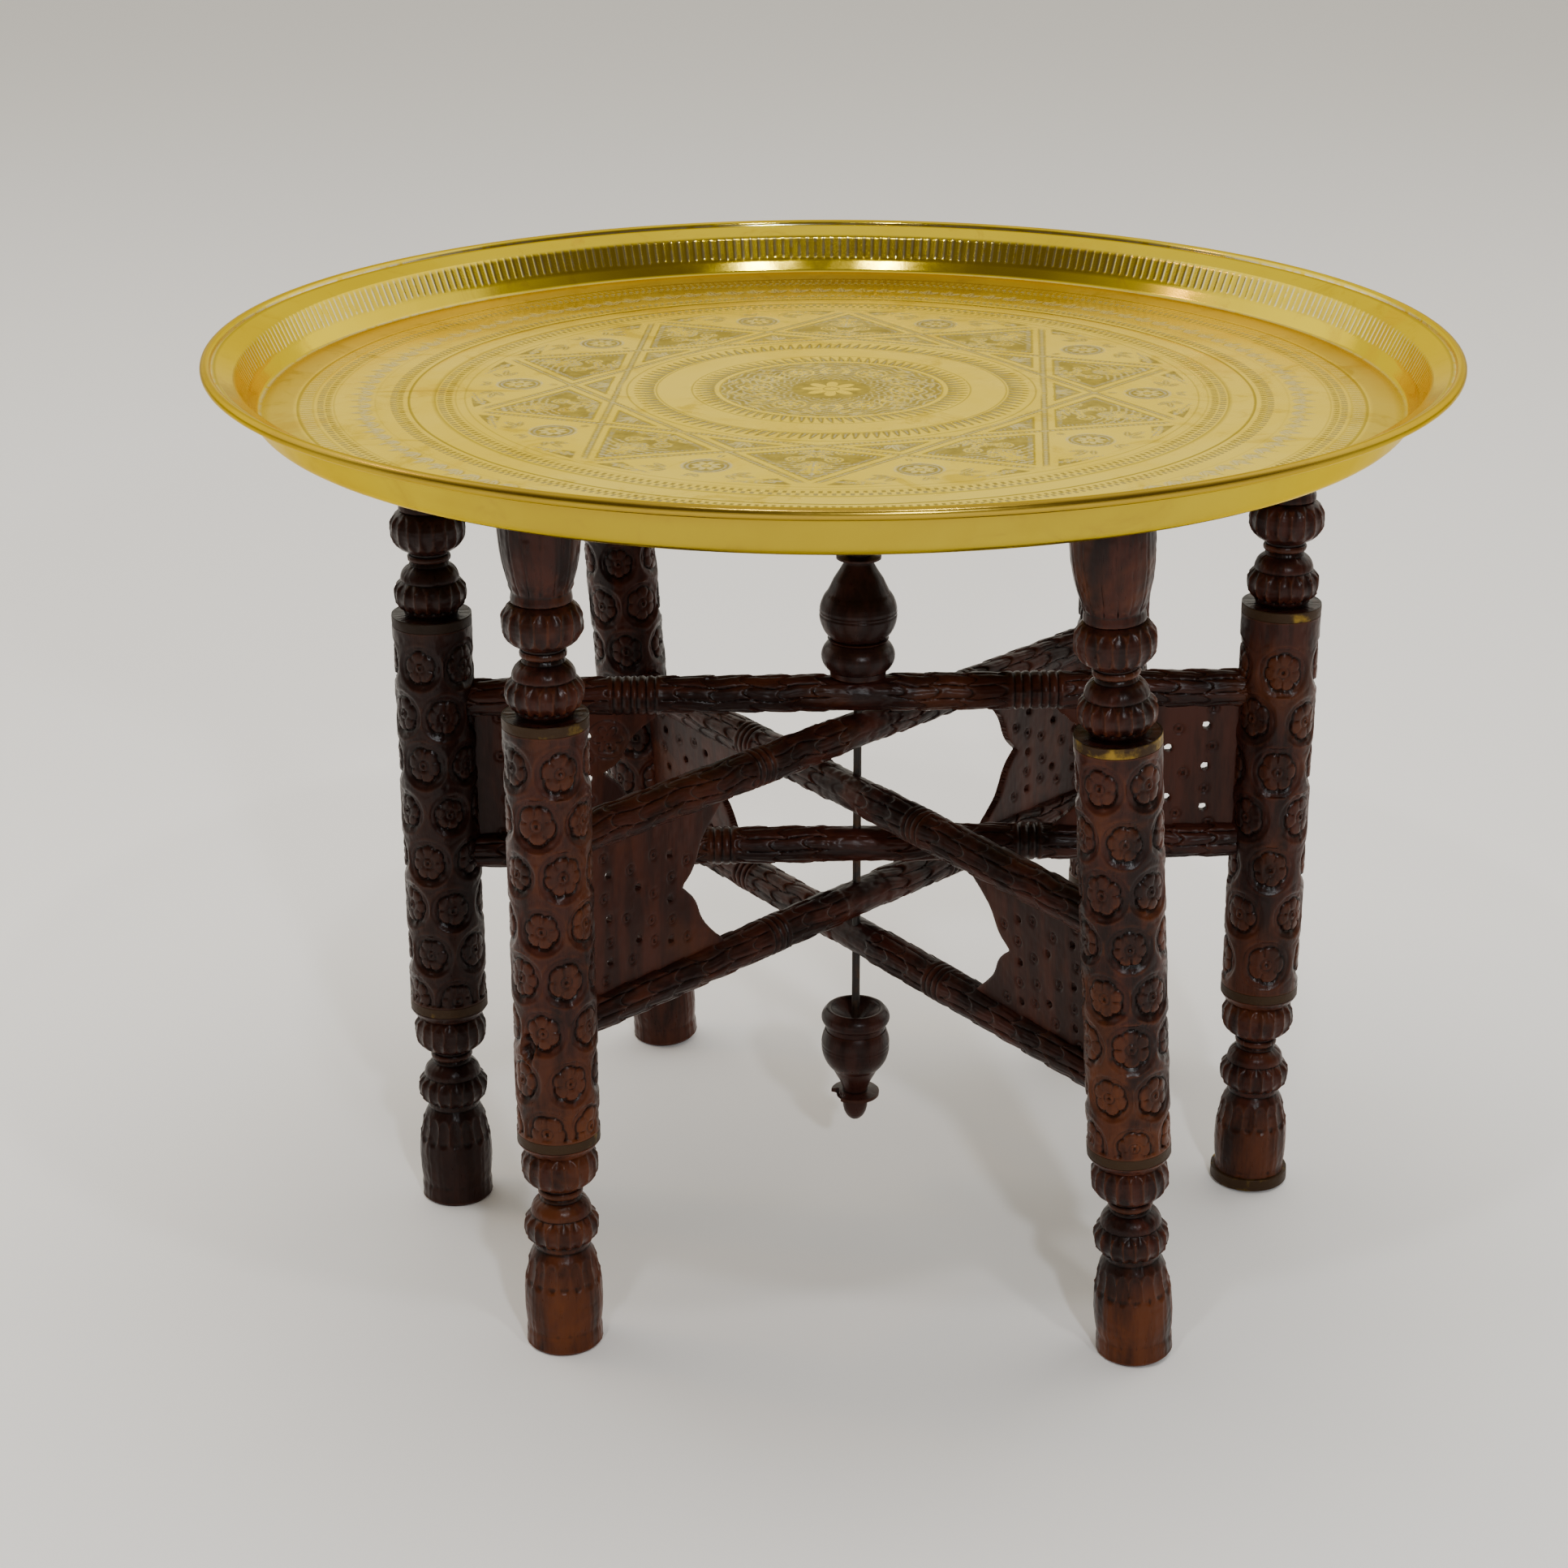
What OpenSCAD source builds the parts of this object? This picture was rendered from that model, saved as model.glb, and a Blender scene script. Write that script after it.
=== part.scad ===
// Round brass tray on a folding stand of three crossing carved wooden frames.
// Origin: on the floor under the centre of the tray. +Z up, millimetres.
// The top frame lies along X; the other two turn about the pivot rod.

/* [Tray] */
// Outer diameter of the tray over its rolled rim
tray_d = 760; // [700:10:820]
// Height of the tray from its underside to the top of the rim
tray_h = 34; // [30:1:40]
// Diameter of the flat floor of the tray
tray_floor_d = 692; // [640:4:700]
// Thickness of the brass sheet
sheet_t = 1.6; // [1.2:0.1:2]
// Diameter of the rolled bead at the rim
bead_d = 6.8; // [6:0.2:8]
// Diameter of the wire inside the bead
wire_d = 4; // [3:0.2:4.4]

/* [Stand] */
// Radius of the circle on which the six legs stand
leg_circle_r = 267; // [250:1:275]
// Pivot axis, X from the centre of the tray
pivot_x = 17; // [0:1:20]
// Pivot axis, Y from the centre of the tray
pivot_y = -10.5; // [-20:0.5:0]
// Direction of the middle frame as it stands, degrees from X
middle_angle = 45; // [40:1:60]
// Direction of the bottom frame as it stands, degrees from X
bottom_angle = -57.5; // [-60:0.5:-45]
// How far the bottom frame leans out of plumb, degrees
bottom_lean = 4.6; // [0:0.2:5]

/* [Legs] */
// Height of a leg
leg_h = 542; // [530:1:560]
// Diameter of the carved cylinder of a leg
leg_d = 50; // [48:1:52]
// Height of the foot below the lowest turned bulb
foot_h = 67.5; // [60:0.5:75]
// Width of the brass bands let into the legs
band_w = 6.5; // [5:0.5:8]
// Thickness of the brass bands
band_t = 0.9; // [0.6:0.1:1.2]

/* [Rails and panels] */
// Diameter of a rail
rail_d = 24; // [22:1:25]
// Diameter of the round tenon at each end of a rail
tenon_d = 14; // [12:1:16]
// Length of a tenon inside its leg
tenon_len = 20; // [16:1:24]
// Thickness of a fretted panel
panel_t = 6; // [5:0.5:7]
// Radius from the pivot to the long horns of a panel
panel_horn_r = 126; // [115:1:140]
// Radius from the pivot to the notch of a panel
panel_notch_r = 162; // [150:1:175]
// Diameter of the holes drilled through a panel
panel_hole_d = 5; // [4:0.5:6]

/* [Pivot] */
// Diameter of the pivot rod
rod_d = 5.4; // [5:0.1:6]
// Radial clearance of the rod in a rail
rod_clear = 0.08; // [0.05:0.01:0.1]

/* [Hidden] */
$fn = 96;

// Each frame: direction, lean, height of the upper rail, height of the lower rail
TOP = [0, 0, 351.5, 248];
MIDDLE = [middle_angle, 0, 326.8, 210];
BOTTOM = [bottom_angle, bottom_lean, 284, 180];

leg_r = leg_d / 2;
unit_h = 66;                                // a pair of turned bulbs with the ring between them
cyl_lo = foot_h + unit_h;                   // bottom of the carved cylinder
cyl_hi = leg_h - unit_h - foot_h + 0.5;     // top of the carved cylinder
foot_flat_r = 22;                           // flat of the foot and of the leg's top
lean_z = (BOTTOM[2] + BOTTOM[3]) / 2;       // height about which the bottom frame leans
// A leaning leg stands on the edge of its foot, so its frame sits a little higher
lean_lift = foot_flat_r * sin(bottom_lean) - lean_z * (1 - cos(bottom_lean));
lean_top = lean_lift + lean_z + (leg_h - lean_z) * cos(bottom_lean) + foot_flat_r * sin(bottom_lean);
tray_gap = 0.3;                             // between the highest leg top and the tray
tray_z = lean_top + tray_gap;

// Holes of a panel: radius from the pivot, height above the panel's middle
panel_holes = [[223, 27], [223, -1], [223, -29], [199, 12], [199, -22], [172, 25], [172, -4], [172, -31]];
panel_lap = 3;                              // how deep a panel's edge sits in the rails and the leg
panel_out = leg_circle_r - leg_r + panel_lap;

finial_gap = 0.3;                           // between the top finial and the rail below it
top_finial_z = TOP[2] + rail_d / 2 + finial_gap;
bottom_finial_z = 131.5;                    // rim of the bottom finial's dished top
rod_hole_r = rod_d / 2 + rod_clear;
rod_grip = 26;                              // length of the rod inside each finial
finial_dish = 9;                            // depth of the dished top of the bottom finial
rod_lo = bottom_finial_z - finial_dish - rod_grip;
rod_hi = top_finial_z + rod_grip;

// Points of an elliptical arc in the (radius, height) plane
function arc(cr, cz, rr, rz, a0, a1, n = 6) =
    [for (i = [0:n]) let (a = a0 + (a1 - a0) * i / n) [cr + rr * cos(a), cz + rz * sin(a)]];

// Unit normal of a path at point i, turned to its left
function normal_at(p, i) =
    let (a = p[max(i - 1, 0)], b = p[min(i + 1, len(p) - 1)], d = b - a)
    [-d[1], d[0]] / norm(d);

// Two bulbs with a ring between them, from the lower end up
function bulb_unit(z) = concat(
    [[17, z]],
    arc(7, z + 12.2, 16.6, 12.2, -50, 22),
    [[21.9, z + 17.8]],
    arc(11.6, z + 18, 10.4, 14.6, 4, 72),
    [[12.4, z + 33.2]],
    arc(12.2, z + 35.9, 1.4, 2.5, -80, 80, 4),
    [[12.4, z + 39]],
    arc(8, z + 54, 16.2, 14.6, -52, 52),
    [[17, z + unit_h]]
);

foot_profile = concat(
    [[0, 0], [foot_flat_r, 0], [23.6, 1.6], [23.6, 9.6]],
    arc(13.4, 30, 11, 37, -28, 66, 8),
    [[16.6, foot_h - 1]]
);

bell_profile = concat(
    [[16.4, leg_h - foot_h + 0.8], [17.6, leg_h - foot_h + 1.6], [17.6, leg_h - foot_h + 3.2]],
    arc(8.6, leg_h - 18, 15.8, 50, -58, 12, 8),
    [[24, leg_h - 1.6], [foot_flat_r, leg_h], [0, leg_h]]
);

leg_profile = concat(
    foot_profile,
    bulb_unit(foot_h),
    [[21.6, cyl_lo + 0.2], [leg_r - 0.6, cyl_lo + 4], [leg_r, cyl_lo + 5]],
    [[leg_r, cyl_hi - 0.8], [leg_r - 0.8, cyl_hi]],
    bulb_unit(cyl_hi),
    bell_profile
);

// Middle line of the tray's sheet: floor, cove, fluted wall, flange
bead_r = bead_d / 2;
bead_cr = tray_d / 2 - bead_r;
bead_cz = tray_h - bead_r;
floor_r = tray_floor_d / 2;
cove_r = 8;
tray_path = concat(
    [[0, sheet_t / 2], [floor_r - 2, sheet_t / 2]],
    arc(floor_r - 2, sheet_t / 2 + cove_r, cove_r, cove_r, -75, -28, 5),
    [[floor_r + 14, tray_h - 10], [floor_r + 17, tray_h - 7.8]],
    [[bead_cr - bead_r + 0.4, bead_cz + 0.6]]
);

// Puts a piece drawn along X about the pivot axis where its frame stands
module in_frame(f) {
    translate([pivot_x, pivot_y, 0])
        rotate([0, 0, f[0]])
            translate([0, 0, lean_z + (f[1] > 0 ? lean_lift : 0)])
                rotate([f[1], 0, 0])
                    translate([0, 0, -lean_z])
                        children();
}

// Puts a piece drawn for a leg on the +X end of a frame at that end or the other
module at_end(side) {
    rotate([0, 0, side > 0 ? 0 : 180])
        children();
}

module on_leg(side) {
    at_end(side)
        translate([leg_circle_r, 0, 0])
            children();
}

module sheet_profile(path, t) {
    left = [for (i = [0:len(path) - 1]) path[i] + normal_at(path, i) * t / 2];
    right = [for (i = [len(path) - 1:-1:0]) path[i] - normal_at(path, i) * t / 2];
    polygon(concat(left, right));
}

module tray() {
    color("goldenrod")
        translate([0, 0, tray_z])
            rotate_extrude($fn = 180)
                difference() {
                    union() {
                        sheet_profile(tray_path, sheet_t);
                        translate([bead_cr, bead_cz])
                            circle(r = bead_r, $fn = 32);
                    }
                    translate([bead_cr, bead_cz])
                        circle(d = wire_d, $fn = 32);
                }
}

module rim_wire() {
    color("darkgoldenrod")
        translate([0, 0, tray_z])
            rotate_extrude($fn = 180)
                translate([bead_cr, bead_cz])
                    circle(d = wire_d, $fn = 32);
}

// Flat ring let into a leg
module band_ring(z, r, w, t) {
    translate([0, 0, z])
        difference() {
            cylinder(r = r, h = w);
            translate([0, 0, -1])
                cylinder(r = r - t, h = w + 2);
        }
}

top_band_z = cyl_hi - 1 - band_w;
low_band_z = cyl_lo + 5.5;

module leg(f, side, foot_band = false) {
    color("saddlebrown")
        difference() {
            in_frame(f)
                on_leg(side)
                    difference() {
                        rotate_extrude()
                            polygon(leg_profile);
                        for (z = [top_band_z, low_band_z])
                            band_ring(z, leg_r + 1, band_w, band_t + 1);
                        if (foot_band)
                            band_ring(1.6, leg_r + 1, 8, leg_r + 1 - 23.6 + 0.7);
                    }
            in_frame(f)
                at_end(side) {
                    for (z = [f[2], f[3]])
                        tenon(z, tenon_len);
                    panel_blank(f);
                }
        }
}

module tenon(z, len) {
    translate([leg_circle_r - leg_r - 2, 0, z])
        rotate([0, 90, 0])
            cylinder(d = tenon_d, h = len + 2);
}

module leg_band(f, side, z) {
    color("peru")
        in_frame(f)
            on_leg(side)
                band_ring(z, leg_r, band_w, band_t);
}

module foot_band(f, side) {
    color("peru")
        in_frame(f)
            on_leg(side)
                band_ring(1.6, 25.4, 8, 25.4 - 23.6 + 0.7);
}

// A turned rail: coped to its legs, with a tenon at each end and a bore for the rod
module rail(f, z) {
    color("sienna")
        difference() {
            in_frame(f) {
                difference() {
                    rail_bar(z);
                    for (side = [-1, 1]) {
                        on_leg(side)
                            cylinder(r = leg_r, h = leg_h);
                        at_end(side)
                            panel_blank(f);
                    }
                }
                for (side = [-1, 1])
                    at_end(side)
                        tenon(z, tenon_len);
            }
            translate([pivot_x, pivot_y, 0])
                cylinder(r = rod_hole_r, h = leg_h);
        }
}

module rail_bar(z) {
    translate([-leg_circle_r + leg_r / 2, 0, z])
        rotate([0, 90, 0])
            cylinder(d = rail_d, h = 2 * leg_circle_r - leg_r);
}

// Rectangle of the panel's board where its edges sit in the rails and the leg
module panel_blank(f) {
    lo = f[3] + rail_d / 2 - panel_lap;
    hi = f[2] - rail_d / 2 + panel_lap;
    translate([panel_horn_r, -panel_t / 2, lo])
        cube([panel_out - panel_horn_r, panel_t, hi - lo]);
}

// Outline of a panel in its own plane: x outwards from the pivot, y upwards.
// Its inner edge is a bracket: a horn at each rail and a notch at mid height.
module panel_outline(f) {
    lo = f[3] + rail_d / 2 - panel_lap;
    hi = f[2] - rail_d / 2 + panel_lap;
    mid = (lo + hi) / 2;
    half = (hi - lo) / 2 - panel_lap;
    depth = panel_notch_r - panel_horn_r;
    side = [for (i = [0:12]) let (t = i / 12)
        [panel_notch_r - depth * (0.82 * t + 0.09 * sin(360 * t) * (1 - t / 2)), half * t * 0.86]];
    upper = concat(side, [[panel_horn_r + depth * 0.12, half * 0.9], [panel_horn_r, half]]);
    points = concat(
        [[panel_out, lo], [panel_horn_r, lo]],
        [for (i = [len(upper) - 1:-1:1]) [upper[i][0], mid - upper[i][1]]],
        [for (p = upper) [p[0], mid + p[1]]],
        [[panel_horn_r, hi], [panel_out, hi]]
    );
    polygon(points);
}

module panel(f, side) {
    mid = (f[2] + f[3]) / 2;
    color("brown")
        in_frame(f)
            at_end(side)
                rotate([90, 0, 0])
                    difference() {
                        translate([0, 0, -panel_t / 2])
                            linear_extrude(panel_t)
                                panel_outline(f);
                        for (h = panel_holes)
                            panel_hole(h[0], mid + h[1]);
                    }
}

module panel_hole(x, z) {
    translate([x, z, -panel_t])
        cylinder(d = panel_hole_d, h = 2 * panel_t, $fn = 24);
}

module pivot_rod() {
    color("dimgray")
        translate([pivot_x, pivot_y, rod_lo])
            cylinder(d = rod_d, h = rod_hi - rod_lo);
}

// Turned knob that stands on the top rail: flattened bulb, vase, neck, disc and tip
top_finial_profile = concat(
    [[0, 0], [17.6, 0]],
    arc(10, 13, 13.4, 12, -52, 60, 8),
    [[18.8, 23.4], [19.4, 24.4]],
    arc(8, 41, 16.7, 19.5, -56, 46, 10),
    [[15.8, 63], [12, 69], [9.4, 73.6], [9.2, 75.2], [14.2, 76.6], [14.2, 78], [8.6, 79.4]],
    arc(0, 83, 8.4, 11, -8, 90, 6)
);

// Turned knob that hangs on the rod: dished ring, vase, neck, disc and tip
bottom_finial_profile = concat(
    [[0, -finial_dish], [rod_d / 2 + 1.4, -finial_dish]],
    arc(18, -2.6, 2.6, 2.6, 150, 60, 4),
    arc(12, -6.6, 10.6, 8, 30, -40, 6),
    [[19.4, -17.6], [19.6, -18.6]],
    arc(6, -26.5, 16.6, 21, 32, -56, 10),
    [[9.6, -54.6], [8.3, -58.4], [8.3, -60.2], [16, -61.4], [16, -63.6], [8.6, -65.2]],
    arc(0, -69, 8.4, 13.5, 8, -90, 6)
);

module finial(profile, z) {
    color("maroon")
        translate([pivot_x, pivot_y, 0])
            difference() {
                translate([0, 0, z])
                    rotate_extrude()
                        polygon(profile);
                translate([0, 0, rod_lo])
                    cylinder(d = rod_d, h = rod_hi - rod_lo);
            }
}

tray();
rim_wire();
leg(TOP, -1);  // left_leg
leg(TOP, 1, true);  // right_leg
leg(MIDDLE, -1);  // front_left_leg
leg(MIDDLE, 1);  // back_right_leg
leg(BOTTOM, 1);  // front_right_leg
leg(BOTTOM, -1);  // back_left_leg
leg_band(TOP, -1, top_band_z);  // left_top_band
leg_band(TOP, 1, top_band_z);  // right_top_band
leg_band(MIDDLE, -1, top_band_z);  // front_left_top_band
leg_band(MIDDLE, 1, top_band_z);  // back_right_top_band
leg_band(BOTTOM, 1, top_band_z);  // front_right_top_band
leg_band(BOTTOM, -1, top_band_z);  // back_left_top_band
leg_band(TOP, -1, low_band_z);  // left_low_band
leg_band(TOP, 1, low_band_z);  // right_low_band
leg_band(MIDDLE, -1, low_band_z);  // front_left_low_band
leg_band(MIDDLE, 1, low_band_z);  // back_right_low_band
leg_band(BOTTOM, 1, low_band_z);  // front_right_low_band
leg_band(BOTTOM, -1, low_band_z);  // back_left_low_band
foot_band(TOP, 1);  // right_foot_band
rail(TOP, TOP[2]);  // top_frame_upper_rail
rail(TOP, TOP[3]);  // top_frame_lower_rail
rail(MIDDLE, MIDDLE[2]);  // middle_frame_upper_rail
rail(MIDDLE, MIDDLE[3]);  // middle_frame_lower_rail
rail(BOTTOM, BOTTOM[2]);  // bottom_frame_upper_rail
rail(BOTTOM, BOTTOM[3]);  // bottom_frame_lower_rail
panel(TOP, -1);  // left_panel
panel(TOP, 1);  // right_panel
panel(MIDDLE, -1);  // front_left_panel
panel(MIDDLE, 1);  // back_right_panel
panel(BOTTOM, 1);  // front_right_panel
panel(BOTTOM, -1);  // back_left_panel
pivot_rod();
finial(top_finial_profile, top_finial_z);  // top_finial
finial(bottom_finial_profile, bottom_finial_z);  // bottom_finial
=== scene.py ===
import math
from functools import reduce

import bpy
import numpy as np
from mathutils import Matrix, Vector
from numpy import arctan2, clip, cos, exp, hypot, minimum, sign, sin, where, zeros_like


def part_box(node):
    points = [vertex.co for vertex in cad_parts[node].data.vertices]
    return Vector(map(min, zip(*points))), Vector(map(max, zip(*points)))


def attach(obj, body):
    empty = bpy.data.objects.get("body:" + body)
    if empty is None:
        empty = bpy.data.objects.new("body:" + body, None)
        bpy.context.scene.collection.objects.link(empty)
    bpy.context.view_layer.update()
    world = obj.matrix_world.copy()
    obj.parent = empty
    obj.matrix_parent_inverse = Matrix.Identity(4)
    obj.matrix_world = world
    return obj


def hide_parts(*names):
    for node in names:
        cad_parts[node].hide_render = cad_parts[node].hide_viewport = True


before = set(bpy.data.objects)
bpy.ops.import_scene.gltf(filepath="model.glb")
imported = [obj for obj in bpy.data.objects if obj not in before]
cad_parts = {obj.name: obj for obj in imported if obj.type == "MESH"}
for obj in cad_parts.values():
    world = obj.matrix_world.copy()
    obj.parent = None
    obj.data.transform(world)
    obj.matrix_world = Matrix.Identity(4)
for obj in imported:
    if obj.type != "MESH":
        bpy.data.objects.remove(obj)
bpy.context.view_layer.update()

# An engraved brass tray on a folding stand of three crossing carved frames.
# Pieces are drawn in millimetres in a frame of their own, then set in place in metres.

MM = 0.001
TURN = 2 * math.pi

# ---------------- driving dimensions, mm
LEG_H = 542
LEG_R = 25
FOOT_H = 67.5
FOOT_FLAT_R = 22
UNIT_H = 66                       # a pair of turned bulbs with the ring between them
CYL_LO = FOOT_H + UNIT_H
CYL_HI = LEG_H - UNIT_H - FOOT_H + 0.5
BAND_W = 6.5
BAND_T = 0.9
TOP_BAND_Z = CYL_HI - 1 - BAND_W
LOW_BAND_Z = CYL_LO + 5.5
FOOT_BAND_Z, FOOT_BAND_W = 1.6, 8
RAIL_R = 12
PANEL_T = 6
ROD_R = 2.7
TRAY_H = 34
SHEET_T = 1.6
FLOOR_R = 346
BEAD_R = 3.4
BEAD_CR = 380 - BEAD_R
BEAD_CZ = TRAY_H - BEAD_R

LEG_COUNT, LEG_STEP = 180, 1.15    # points round a leg, and mm between its rows of points
BROKEN_AT = (math.radians(5), 206)    # angle and height of the broken flower on the front left leg

# Each leg: the leg at the other end of its frame, the body it rides on, rosettes in a row,
# rows, distance between rows, first row below the cylinder's top, how orange it is worn
LEGS = {
    "left": ("right", "top_frame", 5, 8, 32.6, 30, 0.12),
    "right": ("left", "top_frame", 4, 7, 33.7, 40, 0.55),
    "front_left": ("back_right", "middle_frame", 5, 8, 32.7, 28, 0.66),
    "back_right": ("front_left", "middle_frame", 5, 8, 32.7, 29, 0.25),
    "front_right": ("back_left", "bottom_frame", 5, 8, 32.7, 27, 0.8),
    "back_left": ("front_right", "bottom_frame", 5, 8, 32.6, 30, 0.2),
}
# Each rail: its frame's leg on the + side, its body, and where its groups of turned rings are
RAILS = {
    "top_frame_upper_rail": ("right", "top_frame", (-149, -134, 104, 121)),
    "top_frame_lower_rail": ("right", "top_frame", (-87, 110)),
    "middle_frame_upper_rail": ("back_right", "middle_frame", (-96, 104)),
    "middle_frame_lower_rail": ("back_right", "middle_frame", (-83, 92)),
    "bottom_frame_upper_rail": ("front_right", "bottom_frame", (-110, 77)),
    "bottom_frame_lower_rail": ("front_right", "bottom_frame", (-126, 90)),
}


# ---------------- small tools
def arc(cr, cz, rr, rz, start, end, n=8):
    """Points of an elliptical arc, angles in degrees."""
    a = np.radians(np.linspace(start, end, n + 1))
    return [(cr + rr * math.cos(t), cz + rz * math.sin(t)) for t in a]


def most(*values):
    """The largest of several arrays at each point."""
    return reduce(np.maximum, values)


def smooth(lo, hi, x):
    """0 below lo, 1 above hi, with a soft step between."""
    t = clip((x - lo) / (hi - lo), 0, 1)
    return t * t * (3 - 2 * t)


def window(x, lo, hi, soft):
    """1 between lo and hi, fading to 0 over soft on both sides."""
    return smooth(lo - soft, lo, x) * (1 - smooth(hi, hi + soft, x))


def repeated(angle, count, phase=0.0):
    """Angle from the nearest of count equal divisions."""
    step = TURN / count
    return (angle - phase + step / 2) % step - step / 2


def line(x, at, half):
    """1 on a line at x = at, 0 further than its half width."""
    return 1 - smooth(0.45 * half, half, abs(x - at))


def wave(x):
    """A triangle wave from 0 to 1 with period 1, 0 at whole numbers."""
    return abs((x + 0.5) % 1 - 0.5) * 2


def hollow(x, at, half):
    """A rounded groove, 1 deep at its middle."""
    return exp(-(((x - at) / half) ** 2))


NOISE_SIDE = 32
NOISE = np.random.default_rng(7).uniform(-1, 1, (NOISE_SIDE,) * 3)


def noise(x, y, z, seed=0):
    """Smooth noise between -1 and 1 with features about one unit across."""
    p = [np.asarray(v, float) + 5.3 * seed * (i + 1) for i, v in enumerate(np.broadcast_arrays(x, y, z))]
    cell = [np.floor(v).astype(int) for v in p]
    part = [v - c for v, c in zip(p, cell)]
    part = [t * t * (3 - 2 * t) for t in part]
    total = 0
    for dx in (0, 1):
        for dy in (0, 1):
            for dz in (0, 1):
                share = np.ones_like(part[0])
                for t, d in zip(part, (dx, dy, dz)):
                    share = share * (t if d else 1 - t)
                i, j, k = [(c + d) % NOISE_SIDE for c, d in zip(cell, (dx, dy, dz))]
                total = total + share * NOISE[i, j, k]
    return total


def round_noise(angle, scale, z, seed=0):
    """Noise that closes on itself round an axis."""
    return noise(scale * cos(angle), scale * sin(angle), z, seed)


def resample(points, step):
    """Points along a polyline no further apart than step, corners kept."""
    points = np.array(points, float)
    made = [points[:1]]
    for a, b in zip(points[:-1], points[1:]):
        n = max(1, math.ceil(np.linalg.norm(b - a) / step))
        made.append(a + (b - a) * (np.arange(1, n + 1) / n)[:, None])
    return np.concatenate(made)


def path_normals(path):
    """Unit normals to the right of a path, outwards on a profile drawn from the bottom up."""
    d = np.gradient(path, axis=0)
    n = np.stack([d[:, 1], -d[:, 0]], axis=1)
    return n / most(np.linalg.norm(n, axis=1, keepdims=True), 1e-9)


def blurred(grid, reach, axis, around):
    """Running mean over 2 * reach + 1 rows or columns of a grid."""
    mode = "wrap" if around else "edge"
    pad = [(0, 0)] * grid.ndim
    pad[axis] = (reach + 1, reach)
    total = np.cumsum(np.pad(grid, pad, mode=mode), axis=axis)
    size = 2 * reach + 1
    ahead = np.take(total, np.arange(size, total.shape[axis]), axis=axis)
    behind = np.take(total, np.arange(0, total.shape[axis] - size), axis=axis)
    return (ahead - behind) / size


def standing_out(points, normals, reach):
    """How far each point of a grid stands out of its surroundings, in mm: edges +, hollows -."""
    mean = blurred(blurred(points, reach, 0, False), reach, 1, True)
    return ((points - mean) * normals).sum(axis=2)


def build(name, node, body, slot, material, place, points, faces, crease=35, **values):
    """A mesh from points in mm, set in place, that rides on a body and replaces a CAD node."""
    mesh = bpy.data.meshes.new(name)
    mesh.from_pydata((np.asarray(points) * MM).tolist(), [], faces)
    mesh.transform(place)
    mesh.polygons.foreach_set("use_smooth", np.ones(len(mesh.polygons), bool))
    mesh.set_sharp_from_angle(angle=math.radians(crease))
    for key, value in values.items():
        layer = mesh.attributes.new(key, "FLOAT", "POINT")
        layer.data.foreach_set("value", np.asarray(value, np.float32).ravel())
    obj = bpy.data.objects.new(name, mesh)
    bpy.context.scene.collection.objects.link(obj)
    mesh.materials.append(material)
    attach(obj, body)
    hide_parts(node)


def grid_faces(rows, count, close=False):
    """Quads of a grid of rows, each a ring of count points, and from last row to first to close it."""
    i = np.arange(rows if close else rows - 1)[:, None]
    j = np.arange(count)[None, :]
    a, b = i * count + j, i * count + (j + 1) % count
    up = ((i + 1) % rows - i) * count
    return np.stack([a, b, b + up, a + up], axis=-1).reshape(-1, 4).tolist()


def lathe(profile, relief, count, step, closed=False, limit=None):
    """A turned and carved piece: points, faces and how far each point stands out.

    profile runs from the bottom up as (radius, height); it starts and ends on the axis, or is
    closed. relief(angle, height) gives the carving's depth along the outward normal and
    limit(angle, height) the radius beyond which the piece is broken off.
    """
    path = resample(profile, step)
    if closed:
        path = path[:-1]
        wrapped = np.concatenate([path[-1:], path, path[:1]])
        normal = path_normals(wrapped)[1:-1]
    else:
        path[0, 0] = path[-1, 0] = 0
        normal = path_normals(path)
    angle = np.arange(count)[None, :] * TURN / count
    plain = path[:, 1:] + 0 * angle
    depth = relief(angle, plain) + 0 * angle
    flat, up = normal[:, :1], normal[:, 1:] + 0 * angle
    radius = most(path[:, :1] + flat * depth, 0)
    if limit:
        radius = minimum(radius, limit(angle, plain))
    points = np.stack([radius * cos(angle), radius * sin(angle), plain + up * depth], axis=2)
    out = np.stack([flat * cos(angle), flat * sin(angle), up], axis=2)
    edge = standing_out(points, out, 2) + 0.5 * standing_out(points, out, 5)
    rows = len(path)
    if closed:
        return points.reshape(-1, 3), grid_faces(rows, count, close=True), edge.ravel()
    body = points[1:-1].reshape(-1, 3)
    low, high = points[:1, 0], points[-1:, 0]
    faces = grid_faces(rows - 2, count)
    bottom, top, last = len(body), len(body) + 1, (rows - 3) * count
    faces += [(bottom, (j + 1) % count, j) for j in range(count)]
    faces += [(top, last + j, last + (j + 1) % count) for j in range(count)]
    edge = np.concatenate([edge[1:-1].ravel(), [0, 0]])
    return np.concatenate([body, low, high]), faces, edge


# ---------------- where things stand
def centre(node):
    low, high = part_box(node)
    return (low + high) / 2


def axes(origin, x, z):
    """The matrix of a frame with that origin, x axis and z axis."""
    y = z.cross(x)
    m = Matrix.Identity(4)
    for i, v in enumerate((x, y, z, origin)):
        m.col[i][:3] = v
    return m


def leg_place(leg):
    """A leg's own frame: origin at the middle of its foot, x outwards, z up the leg."""
    low, high = centre(f"{leg}_low_band"), centre(f"{leg}_top_band")
    other = centre(f"{LEGS[leg][0]}_low_band")
    up = (high - low).normalized()
    return axes(low - up * (LOW_BAND_Z + BAND_W / 2) * MM, (low - other).normalized(), up)


def rail_place(rail):
    """A rail's own frame: origin at its middle, z along it towards the + leg, x up."""
    leg = leg_place(RAILS[rail][0])
    up, out = leg.col[2].to_3d(), leg.col[0].to_3d()
    return axes(centre(rail), up, out)


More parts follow.
